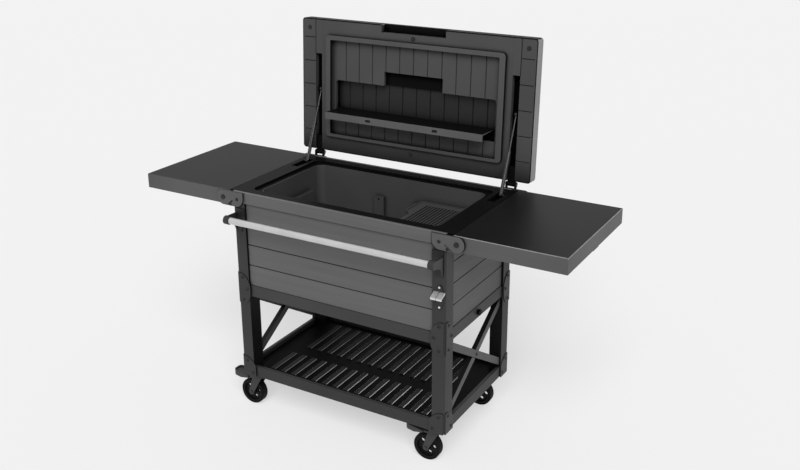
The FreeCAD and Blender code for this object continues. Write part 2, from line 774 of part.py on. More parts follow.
def hinge_plate():
    """Right rear plate that carries a leaf pivot in its round lobe, with a slanted joint line."""
    top = TOP_Z - HINGE_PLATE_TOP
    bottom = top - HINGE_PLATE_H
    left = HALF_W - HINGE_PLATE_IN
    ys = (HALF_D, HALF_D + HINGE_PLATE_T)
    body = box((left, LEAF_PIVOT_X), ys, (bottom, top))
    corner = [e for e in body.Edges if e.BoundBox.XMax < left + 1 and e.BoundBox.ZMax < bottom + 1]
    body = body.makeFillet(HINGE_PLATE_CORNER, corner)
    pivot = Vector(LEAF_PIVOT_X, HALF_D, LEAF_PIVOT_Z)
    lobe = rod(HINGE_LOBE_R, pivot, pivot + Y_AXIS * HINGE_PLATE_T)
    trim = box((left, LEAF_PIVOT_X + HINGE_LOBE_R), ys, (top, top + HINGE_LOBE_R))
    hole = rod(PIN_R + RUN, pivot, pivot + Y_AXIS * HINGE_PLATE_T)
    ends = [Vector(LEAF_PIVOT_X + across, ys[1], LEAF_PIVOT_Z + up) for across, up in HINGE_LINE.values()]
    return cut(fuse([body, lobe]), [trim, hole, groove(*ends, Vector(0, -1, 0))])


def leaf_pin():
    """Right rear leaf pivot: a pin through plate and skirt with a low head outside."""
    outside = HALF_D + HINGE_PLATE_T
    inside = LEAF_D / 2 - 2 * LEAF_SKIRT_T
    start = Vector(LEAF_PIVOT_X, inside, LEAF_PIVOT_Z)
    seat = Vector(LEAF_PIVOT_X, outside, LEAF_PIVOT_Z)
    return fuse([rod(PIN_R, start, seat), rod(PIN_HEAD_R, seat, seat + Y_AXIS * BOLT_H)])


def right_leaf():
    """Drop leaf: a flat top with skirts on three sides, round skirt ends at the pivots and ribs below."""
    y = LEAF_D / 2
    top_plate = box((LEAF_IN, LEAF_OUT), (-y, y), (TOP_Z - LEAF_TOP_T, TOP_Z))
    edges = [e for e in top_plate.Edges if e.BoundBox.ZMin > TOP_Z - 1]
    top_plate = top_plate.makeChamfer(EDGE_BREAK, edges)
    zs = (TOP_Z - LEAF_H, TOP_Z - LEAF_TOP_T)
    pieces = [top_plate, box((LEAF_OUT - LEAF_SKIRT_T, LEAF_OUT), (-y, y), zs)]
    holes = []
    for end in SIDES:
        inner = Vector(LEAF_PIVOT_X, end * (y - LEAF_SKIRT_T), LEAF_PIVOT_Z)
        outer = Vector(LEAF_PIVOT_X, end * y, LEAF_PIVOT_Z)
        pieces.append(box((LEAF_PIVOT_X, LEAF_OUT), (end * (y - LEAF_SKIRT_T), end * y), zs))
        pieces.append(rod(LEAF_H / 2, inner, outer).cut(box((0, LEAF_OUT), (-y, y), (zs[1], TOP_Z))))
        holes.append(rod(PIN_R + RUN, inner, outer))
    rib_zs = (TOP_Z - LEAF_TOP_T - LEAF_RIB_H, TOP_Z - LEAF_TOP_T)
    start = LEAF_IN + LEAF_RIB_START
    for index in range(1, LEAF_RIBS_ALONG + 1):
        middle = -y + LEAF_D * index / (LEAF_RIBS_ALONG + 1)
        pieces.append(box((start, LEAF_OUT), (middle - LEAF_RIB_T / 2, middle + LEAF_RIB_T / 2), rib_zs))
    for index in range(LEAF_RIBS_ACROSS):
        x = start + (LEAF_OUT - start) * index / LEAF_RIBS_ACROSS
        pieces.append(box((x, x + LEAF_RIB_T), (-y, y), rib_zs))
    tab_zs = (TOP_Z - LEAF_H - LEAF_TAB_DROP, TOP_Z - LEAF_H)
    pieces.append(box((LEAF_OUT - EDGE_BREAK - LEAF_TAB_L, LEAF_OUT - EDGE_BREAK),
                      (-LEAF_TAB_W / 2, LEAF_TAB_W / 2), (tab_zs[0], tab_zs[1] + LEAF_TAB_DROP)))
    return cut(fuse(pieces), holes)


def bolt(spot, normal):
    """Low round bolt head that stands on a surface."""
    return rod(BOLT_R, spot, spot + normal * BOLT_H)


def frame_bolts():
    """Bolt heads on the corner plates, the hinge plates and the brace crossings."""
    heads = []
    face = HALF_D + PLATE_T
    flank = HALF_W + PLATE_T
    spots = [(BOLT_IN, MID_PLATE_Z + MID_BOLT_RISE),
             (PLATE_W - PLATE_BOLT_EDGE, MID_PLATE_Z),
             (BOLT_IN, MID_PLATE_Z - MID_BOLT_RISE),
             (BOLT_IN, POST_BOTTOM + FOOT_BOLT_RISE),
             (FOOT_PLATE_W - PLATE_BOLT_EDGE, POST_BOTTOM + FOOT_BOLT_LOW)]
    for inward, z in spots:
        heads.append(bolt(Vector(HALF_W - inward, face, z), Y_AXIS))
        heads.append(bolt(Vector(flank, HALF_D - inward, z), X_AXIS))
    plate_face = HALF_D + HINGE_PLATE_T
    plate_left = HALF_W - HINGE_PLATE_IN
    heads.append(bolt(Vector(plate_left + HINGE_BOLT_IN, plate_face, LEAF_PIVOT_Z), Y_AXIS))
    low = Vector(HALF_W + HINGE_BOLT_OUT, plate_face, LEAF_PIVOT_Z - HINGE_BOLT_DROP)
    heads.append(bolt(low, Y_AXIS))
    everywhere = [copy for head in heads for copy in at_corners(head)]
    crossing = bolt(Vector(HALF_W - BRACE_INSET, 0, (BOX_Z + SHELF_RAIL_TOP) / 2), X_AXIS)
    return Part.makeCompound(everywhere + [crossing, mirrored(crossing, X_AXIS)])


def handle_tube():
    """Round towel-bar handle across the front."""
    reach = HALF_W - BRACKET_EDGE - BRACKET_END_WALL - SEAT
    ends = Vector(-reach, HANDLE_Y, HANDLE_Z), Vector(reach, HANDLE_Y, HANDLE_Z)
    return rod(HANDLE_R, *ends).cut(rod(HANDLE_R - HANDLE_WALL, *ends))


def handle_bracket():
    """Right bracket: a short socket for the tube on an end plate that sweeps down to the post."""
    face = -HALF_D - BASE_T
    nose = HANDLE_R + BRACKET_NOSE
    x = HALF_W - BRACKET_EDGE - BRACKET_END_WALL
    top = Vector(x, face, HANDLE_Z + BRACKET_RISE)
    crown = Vector(x, HANDLE_Y, HANDLE_Z + BRACKET_NECK)
    chin = Vector(x, HANDLE_Y, HANDLE_Z - BRACKET_NECK)
    throat = Vector(x, HANDLE_Y + BRACKET_THROAT_IN, HANDLE_Z - BRACKET_THROAT)
    heel = Vector(x, face, HANDLE_Z - BRACKET_FALL)
    sag = (BRACKET_FALL - BRACKET_THROAT) / 12
    bend = (throat + heel) * 0.5 + Vector(0, sag, sag)
    edges = [line(top, crown), line(crown, chin), line(chin, throat), arc(throat, bend, heel)]
    edges.append(line(heel, top))
    plate = extrude(edges, Vector(BRACKET_END_WALL, 0, 0))
    start = Vector(BRACKET_IN, HANDLE_Y, HANDLE_Z)
    body = fuse([plate, rod(nose, start, start + Vector(BRACKET_W, 0, 0))])
    return body.cut(rod(HANDLE_R + RUN, start, start + Vector(BRACKET_W - BRACKET_END_WALL, 0, 0)))


def handle_base():
    """Right base plate between the post and the bracket, tapered towards its foot."""
    y = -HALF_D
    inner = HALF_W - HINGE_PLATE_IN
    outer = HALF_W - BRACKET_EDGE
    low = HANDLE_Z - BRACKET_FALL
    spots = [(inner, HANDLE_Z + BASE_RISE), (outer, HANDLE_Z + BASE_RISE), (outer, low),
             (inner + BASE_TAPER, low), (inner, HANDLE_Z - BASE_TAPER)]
    return extrude(polygon([Vector(x, y, z) for x, z in spots]), Vector(0, -BASE_T, 0))


def opener_hood():
    """Bent steel hood with a middle groove, open below, and its two screws."""
    face = -HALF_D - OPENER_T
    x0 = OPENER_X - OPENER_W / 2
    out = face - OPENER_OUT
    top = OPENER_Z + OPENER_H / 2
    low = OPENER_Z - OPENER_H / 2
    shoulder = top - OPENER_SLOPE_H
    outer = [Vector(x0, face, top), Vector(x0, out, shoulder), Vector(x0, out, low),
             Vector(x0, out + OPENER_T * 2, low), Vector(x0, out + OPENER_T, shoulder - OPENER_T),
             Vector(x0, face, top - OPENER_T * 2)]
    hood = extrude(polygon(outer), Vector(OPENER_W, 0, 0))
    depth = OPENER_T / 2
    half = OPENER_GROOVE / 2
    line_cut = [Vector(OPENER_X - half, face, top), Vector(OPENER_X - half, out, shoulder),
                Vector(OPENER_X - half, out, low), Vector(OPENER_X - half, out + depth, low),
                Vector(OPENER_X - half, out + depth, shoulder - depth),
                Vector(OPENER_X - half, face, top - depth)]
    slot = extrude(polygon(line_cut), Vector(OPENER_GROOVE, 0, 0))
    middle = OPENER_Z - OPENER_PLATE_LOW
    screws = []
    for side in SIDES:
        z = middle + side * OPENER_SCREW_SPAN / 2
        screws.append(rod(SCREW_R, Vector(OPENER_X, face, z), Vector(OPENER_X, face - SCREW_H, z)))
    return Part.makeCompound([hood.cut(slot)] + screws)


def opener_plate():
    """Back plate of the opener, broad at the hood and tapered to both screws."""
    y = -HALF_D
    middle = OPENER_Z - OPENER_PLATE_LOW
    half = OPENER_PLATE_W / 2
    top = middle + OPENER_PLATE_H / 2
    low = middle - OPENER_PLATE_H / 2
    tip = OPENER_PLATE_TIP
    spots = [(-tip, top - tip), (-half, middle + tip), (-half, middle - tip), (-tip, low + tip)]
    left = [Vector(OPENER_X + x, y, z) for x, z in spots]
    right = [Vector(OPENER_X - x, y, z) for x, z in reversed(spots)]
    edges = [line(a, b) for a, b in zip(left, left[1:])]
    edges.append(arc(left[-1], Vector(OPENER_X, y, low), right[0]))
    edges += [line(a, b) for a, b in zip(right, right[1:])]
    edges.append(arc(right[-1], Vector(OPENER_X, y, top), left[0]))
    return extrude(edges, Vector(0, -OPENER_T, 0))


def lid_box(xs, vs, depths):
    """Block in the closed lid: across, from the hinge edge forward, and up from the inner face."""
    return box(xs, (LID_BACK_Y - vs[1], LID_BACK_Y - vs[0]), (LID_Z + depths[0], LID_Z + depths[1]))


def lid_block(width, vs, radius, depths):
    """Block in the closed lid with round upright corners."""
    middle = LID_BACK_Y - (vs[0] + vs[1]) / 2
    return rounded_block(width, vs[1] - vs[0], radius, LID_Z + depths[0], LID_Z + depths[1], middle)


def grip_pocket(grow):
    """Hollow for the fingers in the front edge of the lid."""
    half = GRIP_W / 2 + grow
    return lid_box((-half, half), (LID_L - GRIP_L - grow, LID_L), (-GROOVE_DEPTH, GRIP_DEPTH + grow))


def strut_channels(grow):
    """Left and right hollows for the struts, open through the hinge edge of the lid."""
    half = STRUT_SLOT_W / 2 + grow
    run = (0, STRUT_SLOT_END + grow)
    channels = []
    for side in SIDES:
        x = side * STRUT_SLOT_X
        channels.append(lid_box((x - half, x + half), run, (-GROOVE_DEPTH, STRUT_SLOT_DEPTH + grow)))
    return channels


def lid_niche(grow):
    """Hollow for the lid shelf, with round upper corners and square ones at the shelf's hinge."""
    depths = (-GROOVE_DEPTH, NICHE_DEPTH + grow)
    half = NICHE_W / 2 + grow
    start = LID_SHELF_V - LID_SHELF_T / 2 - SEAT - grow
    end = NICHE_END + grow
    rounded = lid_block(2 * half, (start, end), NICHE_R + grow, depths)
    return fuse([rounded, lid_box((-half, half), (start, (start + end) / 2), depths)])


def lid_pockets(grow):
    """Hollows in the middle of the lid's inner face, grown by a wall."""
    deep = -GROOVE_DEPTH
    pockets = [grip_pocket(grow), lid_niche(grow)]
    half = FIELD_W / 2 + grow
    pockets.append(lid_box((-half, half), (FIELD_START - grow, FIELD_END + grow), (deep, FIELD_DEPTH + grow)))
    for side in SIDES:
        ends = (side * (NICHE_W / 2 - END_POCKET_W - grow), side * (NICHE_W / 2 + grow))
        pockets.append(lid_box(ends, (END_POCKET_START - grow, LID_SHELF_V), (deep, END_POCKET_DEPTH + grow)))
    half = NOTCH_W / 2 + grow
    notch_start = NICHE_END - grow - SEAT
    pockets.append(lid_box((-half, half), (notch_start, NOTCH_END + grow), (deep, NOTCH_DEPTH + grow)))
    return pockets


def lid_cover():
    """Outer shell of the lid: boarded top and side walls, open at the grip and at the strut channels."""
    outer = lid_block(LID_W, (0, LID_L), LID_CORNER, (0, LID_T))
    edges = [e for e in outer.Edges if e.BoundBox.ZMin > LID_Z + LID_T - 1]
    outer = outer.makeFillet(LID_EDGE, edges)
    hollow = lid_block(LID_W - 2 * LID_WALL, (LID_WALL, LID_L - LID_WALL), LID_CORNER - LID_WALL,
                       (0, LID_T - LID_WALL))
    tools = [hollow, grip_pocket(0)] + strut_channels(0)
    top = LID_Z + LID_T
    reach = LID_W / 2 - 4 * LID_EDGE
    for index in range(1, LID_TOP_PLANKS):
        y = LID_BACK_Y - LID_L * index / LID_TOP_PLANKS
        tools.append(groove(Vector(-reach, y, top), Vector(reach, y, top), Vector(0, 0, -1)))
    return cut(outer, tools)


def liner_blank(depth):
    """Block that just fits in the lid cover, from its inner face to a depth."""
    width = LID_W - 2 * LID_WALL - 2 * SEAT
    ends = (LID_WALL + SEAT, LID_L - LID_WALL - SEAT)
    return lid_block(width, ends, LID_CORNER - LID_WALL - SEAT, (0, depth))


def lid_liner():
    """Middle of the lid's inner face: a plate with walled pockets, a sunk boarded field and a niche."""
    half = BAND_IN - SEAT
    middle = lid_box((-half, half), (0, LID_L), (0, LID_T))
    plate = liner_blank(LINER_T).common(middle)
    inside = liner_blank(LID_T - LID_WALL)
    cups = [pocket.common(inside) for pocket in lid_pockets(POCKET_WALL)]
    body = fuse([plate] + cups)
    tools = lid_pockets(0)
    up = Vector(0, 0, 1)
    back = LID_BACK_Y
    for index in range(1, FIELD_PLANKS):
        x = -FIELD_W / 2 + FIELD_W * index / FIELD_PLANKS
        niche_top = NOTCH_END if abs(x) < NOTCH_W / 2 else NICHE_END
        for v0, v1, depth in ((FIELD_START, LID_SHELF_V, FIELD_DEPTH), (LID_SHELF_V, NICHE_END, NICHE_DEPTH),
                              (niche_top, FIELD_END, FIELD_DEPTH)):
            z = LID_Z + depth
            tools.append(groove(Vector(x, back - v0, z), Vector(x, back - v1, z), up))
    for side in SIDES:
        trunnion = Vector(side * NICHE_W / 2, back - LID_SHELF_V, LID_Z + LID_SHELF_PIVOT_DEPTH)
        tools.append(rod(TRUNNION_R + RUN, trunnion, trunnion + Vector(side * POCKET_WALL, 0, 0)))
    return cut(body, tools)


def band_regions(side):
    """Spaces of a band's inner wall, channel floor, far end and outer boards."""
    near = STRUT_SLOT_X - STRUT_SLOT_W / 2
    seam = STRUT_SLOT_X + STRUT_SLOT_W / 2
    depths = (0, LID_T)
    return [lid_box((side * BAND_IN, side * near), (0, STRUT_SLOT_END), depths),
            lid_box((side * near, side * seam), (0, STRUT_SLOT_END), depths),
            lid_box((side * BAND_IN, side * seam), (STRUT_SLOT_END, LID_L), depths),
            lid_box((side * seam, side * LID_W / 2), (0, LID_L), depths)]


def lid_side_bands():
    """Boarded bands at both ends of the lid's inner face, each with the walled channel of a strut."""
    up = Vector(0, 0, 1)
    back = LID_BACK_Y
    seam = STRUT_SLOT_X + STRUT_SLOT_W / 2
    far = LID_W / 2 - LID_WALL - LID_EDGE
    bands = []
    for side, channel, cup in zip(SIDES, strut_channels(0), strut_channels(POCKET_WALL)):
        end = lid_box((side * BAND_IN, side * LID_W / 2), (0, LID_L), (0, LID_T))
        plate = liner_blank(LINER_T).common(end)
        walls = cup.common(liner_blank(LID_T - LID_WALL))
        tools = [channel]
        start = Vector(side * seam, back - STRUT_SLOT_END, LID_Z)
        tools.append(groove(start, Vector(side * seam, back - LID_L + LID_WALL, LID_Z), up))
        for index in range(BAND_LINES):
            y = back - BAND_LINE_FIRST - BAND_LINE_PITCH * index
            tools.append(groove(Vector(side * seam, y, LID_Z), Vector(side * far, y, LID_Z), up))
        band = cut(fuse([plate, walls]), tools)
        for region in band_regions(side):
            bands += band.common(region).Solids
    return Part.makeCompound(bands)


def lid_foam():
    """Insulation behind the liner, cut round its pockets."""
    gap = 2 * SEAT
    width = LID_W - 2 * LID_WALL - 2 * gap
    depths = (LINER_T + SEAT, LID_T - LID_WALL - SEAT)
    block = lid_block(width, (LID_WALL + gap, LID_L - LID_WALL - gap), LID_CORNER - LID_WALL - gap, depths)
    room = POCKET_WALL + SEAT
    return cut(block, lid_pockets(room) + strut_channels(room))


def lid_gasket():
    """Raised seal frame on the inner face, with softened edges."""
    outer = lid_block(SEAL_W, (SEAL_START, SEAL_END), SEAL_R, (-SEAL_H, 0))
    low = [e for e in outer.Edges if e.BoundBox.ZMax < LID_Z - SEAL_H + 1]
    outer = outer.makeFillet(SEAL_EDGE, low)
    hole = lid_block(FIELD_W, (FIELD_START, FIELD_END), SEAL_R / 4, (-SEAL_H, 0))
    return outer.cut(hole)


def lid_bumpers():
    """Buffers at the free corners and on the middle line of the inner face of the lid."""
    spots = [(side * BUMPER_X, BUMPER_V) for side in SIDES]
    spots += [(0.0, BUMPER_V - BUMPER_R), (0.0, LID_L - BUMPER_V)]
    buttons = []
    for x, v in spots:
        foot = Vector(x, LID_BACK_Y - v, LID_Z)
        buttons.append(Part.makeCone(BUMPER_R, BUMPER_R - EDGE_BREAK / 2, BUMPER_H, foot, Vector(0, 0, -1)))
    return Part.makeCompound(buttons)


def hinge_brackets():
    """Two brackets on the rear leaf hinge plates, each with two ears for the lid pin."""
    brackets = []
    reach = KNUCKLE_W / 2 + SEAT + EAR_W
    face = HALF_D + HINGE_PLATE_T
    top = TOP_Z - HINGE_PLATE_TOP
    low = top - HINGE_BASE_H
    for side in SIDES:
        x = side * STRUT_SLOT_X
        base = box((x - reach, x + reach), (face, face + HINGE_BASE_T), (low, top))
        pieces = [base]
        holes = []
        for edge in SIDES:
            x0 = x + edge * (KNUCKLE_W / 2 + SEAT)
            foot = Vector(x0, HINGE_Y, HINGE_Z)
            run = Vector(edge * EAR_W, 0, 0)
            web = [Vector(x0, face, low),
                   Vector(x0, face, top),
                   Vector(x0, HINGE_Y - KNUCKLE_R, HINGE_Z),
                   Vector(x0, HINGE_Y + KNUCKLE_R, HINGE_Z)]
            pieces.append(extrude(polygon(web), run))
            pieces.append(rod(KNUCKLE_R, foot, foot + run))
            holes.append(rod(HINGE_PIN_R + RUN, foot, foot + run))
        brackets.append(cut(fuse(pieces), holes))
    return Part.makeCompound(brackets)


def lid_hinge_arms():
    """Hinge arms that fill the lower ends of the strut channels, and the studs of the struts."""
    parts = []
    half = KNUCKLE_W / 2
    face = HINGE_Z - KNUCKLE_R / 2
    for side in SIDES:
        x = side * STRUT_SLOT_X
        xs = (x - half, x + half)
        ends = Vector(x - half, HINGE_Y, HINGE_Z), Vector(x + half, HINGE_Y, HINGE_Z)
        neck = box(xs, (LID_BACK_Y, HINGE_Y), (face, HINGE_Z + KNUCKLE_R))
        floor = LID_Z + STRUT_SLOT_DEPTH - SEAT
        seat = box(xs, (LID_BACK_Y - HINGE_ARM_IN, LID_BACK_Y), (face, floor))
        knuckle = fuse([neck, seat, rod(KNUCKLE_R, *ends)])
        parts.append(knuckle.cut(rod(HINGE_PIN_R + RUN, *ends)))
        wall = side * (STRUT_SLOT_X + STRUT_SLOT_W / 2)
        tip = side * (STRUT_SLOT_X + EYE_W / 2 + SEAT)
        y, z = LID_BACK_Y - STRUT_TOP_V, LID_Z + STRUT_TOP_DEPTH
        parts.append(rod(STUD_R, Vector(wall, y, z), Vector(tip, y, z)))
    return Part.makeCompound(parts)


def pivot_pins():
    """Leaf pins, lid hinge pins and the lower studs of the struts."""
    pins = at_corners(leaf_pin())
    reach = KNUCKLE_W / 2 + SEAT + EAR_W
    for side in SIDES:
        x = side * STRUT_SLOT_X
        ends = Vector(x - reach, HINGE_Y, HINGE_Z), Vector(x + reach, HINGE_Y, HINGE_Z)
        pins.append(rod(HINGE_PIN_R, *ends))
        wall = Vector(side * (STRUT_SLOT_X + STRUT_SLOT_W / 2), STRUT_LOW_Y, STRUT_LOW_Z)
        tip = Vector(side * (STRUT_SLOT_X - EYE_W / 2), STRUT_LOW_Y, STRUT_LOW_Z)
        pins.append(rod(STUD_R, wall, tip))
    return Part.makeCompound(pins)


def opened(shape):
    """The shape turned with the lid from closed to its open rest position."""
    copy = shape.copy()
    copy.rotate(Vector(0, HINGE_Y, HINGE_Z), X_AXIS, -LID_OPEN)
    return copy


def lid_shelf():
    """Shelf that folds out of the lid niche, with a front lip, two slots in it and end trunnions."""
    half = LID_SHELF_W / 2
    top = LID_SHELF_V + LID_SHELF_T / 2
    bottom = LID_SHELF_V - LID_SHELF_T / 2
    plate = lid_box((-half, half), (bottom, top), (-LID_SHELF_OUT, LID_SHELF_PIVOT_DEPTH))
    lip_depths = (-LID_SHELF_OUT, LID_SHELF_LIP_T - LID_SHELF_OUT)
    lip = lid_box((-half, half), (top - LID_SHELF_LIP, top), lip_depths)
    pivot_y, pivot_z = LID_BACK_Y - LID_SHELF_V, LID_Z + LID_SHELF_PIVOT_DEPTH
    edge = rod(LID_SHELF_T / 2, Vector(-half, pivot_y, pivot_z), Vector(half, pivot_y, pivot_z))
    reach = NICHE_W / 2 + POCKET_WALL - SEAT
    trunnions = rod(TRUNNION_R, Vector(-reach, pivot_y, pivot_z), Vector(reach, pivot_y, pivot_z))
    slots = []
    middle = top - LID_SHELF_LIP / 2
    for side in SIDES:
        x = side * LID_SHELF_SLOT_X
        slots.append(lid_box((x - LID_SHELF_SLOT_W / 2, x + LID_SHELF_SLOT_W / 2),
                             (middle - LID_SHELF_SLOT_H / 2, middle + LID_SHELF_SLOT_H / 2), lip_depths))
    return cut(fuse([plate, lip, edge, trunnions]), slots)


def strut_eye(height):
    """Flat ring on the strut axis, bored for its stud."""
    half = EYE_W / 2
    ends = Vector(-half, 0, height), Vector(half, 0, height)
    return rod(EYE_R, *ends), rod(STUD_R + RUN, *ends)


def strut_cylinder():
    """Strut cylinder drawn upright from its lower eye: bored tube with a gland at the top."""
    ring, hole = strut_eye(0)
    tube = Part.makeCylinder(CYLINDER_R, CYLINDER_L - EYE_R / 2, Vector(0, 0, EYE_R / 2))
    bore = Part.makeCylinder(CYLINDER_BORE, CYLINDER_L - GLAND_L - CYLINDER_FOOT, Vector(0, 0, CYLINDER_FOOT))
    gland = Part.makeCylinder(ROD_R + RUN, GLAND_L, Vector(0, 0, CYLINDER_L - GLAND_L))
    return cut(fuse([tube, ring]), [hole, bore, gland])


def strut_rod(length):
    """Strut rod drawn upright, with a piston below and an eye at the strut's open length."""
    ring, hole = strut_eye(length)
    low = length - ROD_L
    bar = Part.makeCylinder(ROD_R, ROD_L - EYE_R / 2, Vector(0, 0, low))
    piston = Part.makeCylinder(CYLINDER_BORE - RUN, PISTON_L, Vector(0, 0, low))
    return cut(fuse([bar, ring, piston]), [hole])


def strut_line():
    """Open strut in the YZ plane: its length and its lean from upright towards the back."""
    top = opened(Part.Vertex(0, LID_BACK_Y - STRUT_TOP_V, LID_Z + STRUT_TOP_DEPTH)).Point
    run = top.sub(Vector(0, STRUT_LOW_Y, STRUT_LOW_Z))
    return run.Length, math.degrees(math.atan2(run.y, run.z))


def strut_placed(shape, side, lean):
    """Strut piece stood on its lower stud."""
    copy = shape.copy()
    copy.rotate(ORIGIN, X_AXIS, -lean)
    copy.translate(Vector(side * STRUT_SLOT_X, STRUT_LOW_Y, STRUT_LOW_Z))
    return copy


def tray():
    """Slotted tray with a raised edge, two stiffening ribs below and a finger notch in its left side."""
    left = TRAY_RIGHT - TRAY_L
    y = TRAY_HALF_D
    top = TRAY_Z + TRAY_T
    middle = Vector(TRAY_RIGHT - TRAY_L / 2, 0, 0)
    radius = TUB_R - TRAY_GAP
    plate = rounded_block(TRAY_L, 2 * y, radius, TRAY_Z, top + TRAY_LIP).translated(middle)
    well_w = TRAY_L - 2 * TRAY_LIP_W
    well_d = 2 * (y - TRAY_LIP_W)
    well = rounded_block(well_w, well_d, radius - TRAY_LIP_W, top, top + TRAY_LIP)
    tools = [well.translated(middle)]
    field = TRAY_PITCH * (TRAY_SLOTS - 1) + TRAY_SLOT_W
    start = TRAY_RIGHT - TRAY_EDGE - field
    end = y - TRAY_EDGE
    third = end / 3
    spans = [(-end, -third - TRAY_RIB_W / 2), (TRAY_RIB_W / 2 - third, third - TRAY_RIB_W / 2),
             (third + TRAY_RIB_W / 2, end)]
    for index in range(TRAY_SLOTS):
        xs = (start + index * TRAY_PITCH, start + index * TRAY_PITCH + TRAY_SLOT_W)
        tools.append(box(xs, (-end, end), (TRAY_Z + TRAY_RIB_H, top)))
        tools += [box(xs, span, (TRAY_Z, TRAY_Z + TRAY_RIB_H)) for span in spans]
    mouth, flat = TRAY_NOTCH_W / 2, TRAY_NOTCH_FLAT / 2
    spots = [(left - TRAY_GAP, -mouth), (left + TRAY_NOTCH_DEPTH, -flat),
             (left + TRAY_NOTCH_DEPTH, flat), (left - TRAY_GAP, mouth)]
    notch = polygon([Vector(x, across, TRAY_Z) for x, across in spots])
    tools.append(extrude(notch, Vector(0, 0, TRAY_T + TRAY_LIP)))
    return cut(plate, tools)


def caster_plate():
    """Top plate with a bearing race and king pin, drawn about the swivel axis."""
    top = POST_BOTTOM
    half = CASTER_PLATE / 2
    under = top - CASTER_PLATE_T
    plate = box((-half, half), (-half, half), (under, top))
    race = Part.makeCone(RACE_R - EDGE_BREAK, RACE_R, RACE_H, Vector(0, 0, under - RACE_H))
    pin = Part.makeCylinder(KING_PIN_R, FORK_HEAD_T + RACE_H, Vector(0, 0, under - RACE_H - FORK_HEAD_T))
    return fuse([plate, race, pin])


def caster_fork(braked):
    """Fork with two pressed legs that trail behind the swivel, and the axle across them."""
    head_top = POST_BOTTOM - CASTER_PLATE_T - RACE_H - SEAT
    head_low = head_top - FORK_HEAD_T
    head = Part.makeCylinder(FORK_HEAD_R, FORK_HEAD_T, Vector(0, 0, head_low))
    inner = WHEEL_W / 2 + FORK_GAP
    pieces = [head]
    for side in SIDES:
        y = side * inner
        run = Vector(0, side * FORK_T, 0)
        foot = Vector(-TRAIL, y, WHEEL_R)
        leg = [Vector(FORK_NECK, y, head_top), Vector(-FORK_HEAD_R, y, head_top),
               Vector(-TRAIL - FORK_FOOT_R, y, WHEEL_R), Vector(-TRAIL + FORK_FOOT_R, y, WHEEL_R)]
        pieces.append(extrude(polygon(leg), run))
        pieces.append(rod(FORK_FOOT_R, foot, foot + run))
    tools = [Part.makeCylinder(KING_PIN_R + RUN, FORK_HEAD_T, Vector(0, 0, head_low))]
    reach = inner + FORK_T
    tools.append(rod(AXLE_R + RUN, Vector(-TRAIL, -reach, WHEEL_R), Vector(-TRAIL, reach, WHEEL_R)))
    if braked:
        pivot = pedal_pivot()
        tools.append(rod(PEDAL_PIN_R + RUN, pivot - Y_AXIS * reach, pivot + Y_AXIS * reach))
    over = reach + BOLT_H
    axle = rod(AXLE_R, Vector(-TRAIL, -over, WHEEL_R), Vector(-TRAIL, over, WHEEL_R))
    return Part.makeCompound([cut(fuse(pieces), tools), axle])


def pedal_pivot():
    """Middle of the brake pedal pin, between the fork legs and above the wheel."""
    return Vector(-PEDAL_PIVOT_BACK, 0, 2 * WHEEL_R + PEDAL_PIVOT_RISE)


def wheel():
    """Wheel drawn about its axle: a core with a holed web, and a rounded tread round it."""
    half = WHEEL_W / 2
    core_r = WHEEL_R - TREAD_T
    start = Vector(0, -half, 0)
    core = Part.makeCylinder(core_r, WHEEL_W, start, Y_AXIS)
    tools = []
    for side in SIDES:
        face = Vector(0, side * WEB_T / 2, 0)
        room = side * (half - WEB_T / 2)
        ring = Part.makeCylinder(core_r - TREAD_EDGE, abs(room), face, Y_AXIS * side)
        tools.append(ring.cut(Part.makeCylinder(HUB_R, abs(room), face, Y_AXIS * side)))
    spread = (core_r - TREAD_EDGE + HUB_R) / 2
    for index in range(WEB_HOLES):
        turn = 2 * math.pi * index / WEB_HOLES
        spot = Vector(spread * math.cos(turn), -half, spread * math.sin(turn))
        tools.append(Part.makeCylinder(WEB_HOLE_R, WHEEL_W, spot, Y_AXIS))
    tools.append(Part.makeCylinder(AXLE_R + RUN, WHEEL_W, start, Y_AXIS))
    tread = Part.makeCylinder(WHEEL_R, WHEEL_W, start, Y_AXIS)
    rims = [e for e in tread.Edges if e.Closed]
    tread = tread.makeFillet(TREAD_EDGE, rims).cut(Part.makeCylinder(core_r, WHEEL_W, start, Y_AXIS))
    return Part.makeCompound([cut(core, tools), tread])


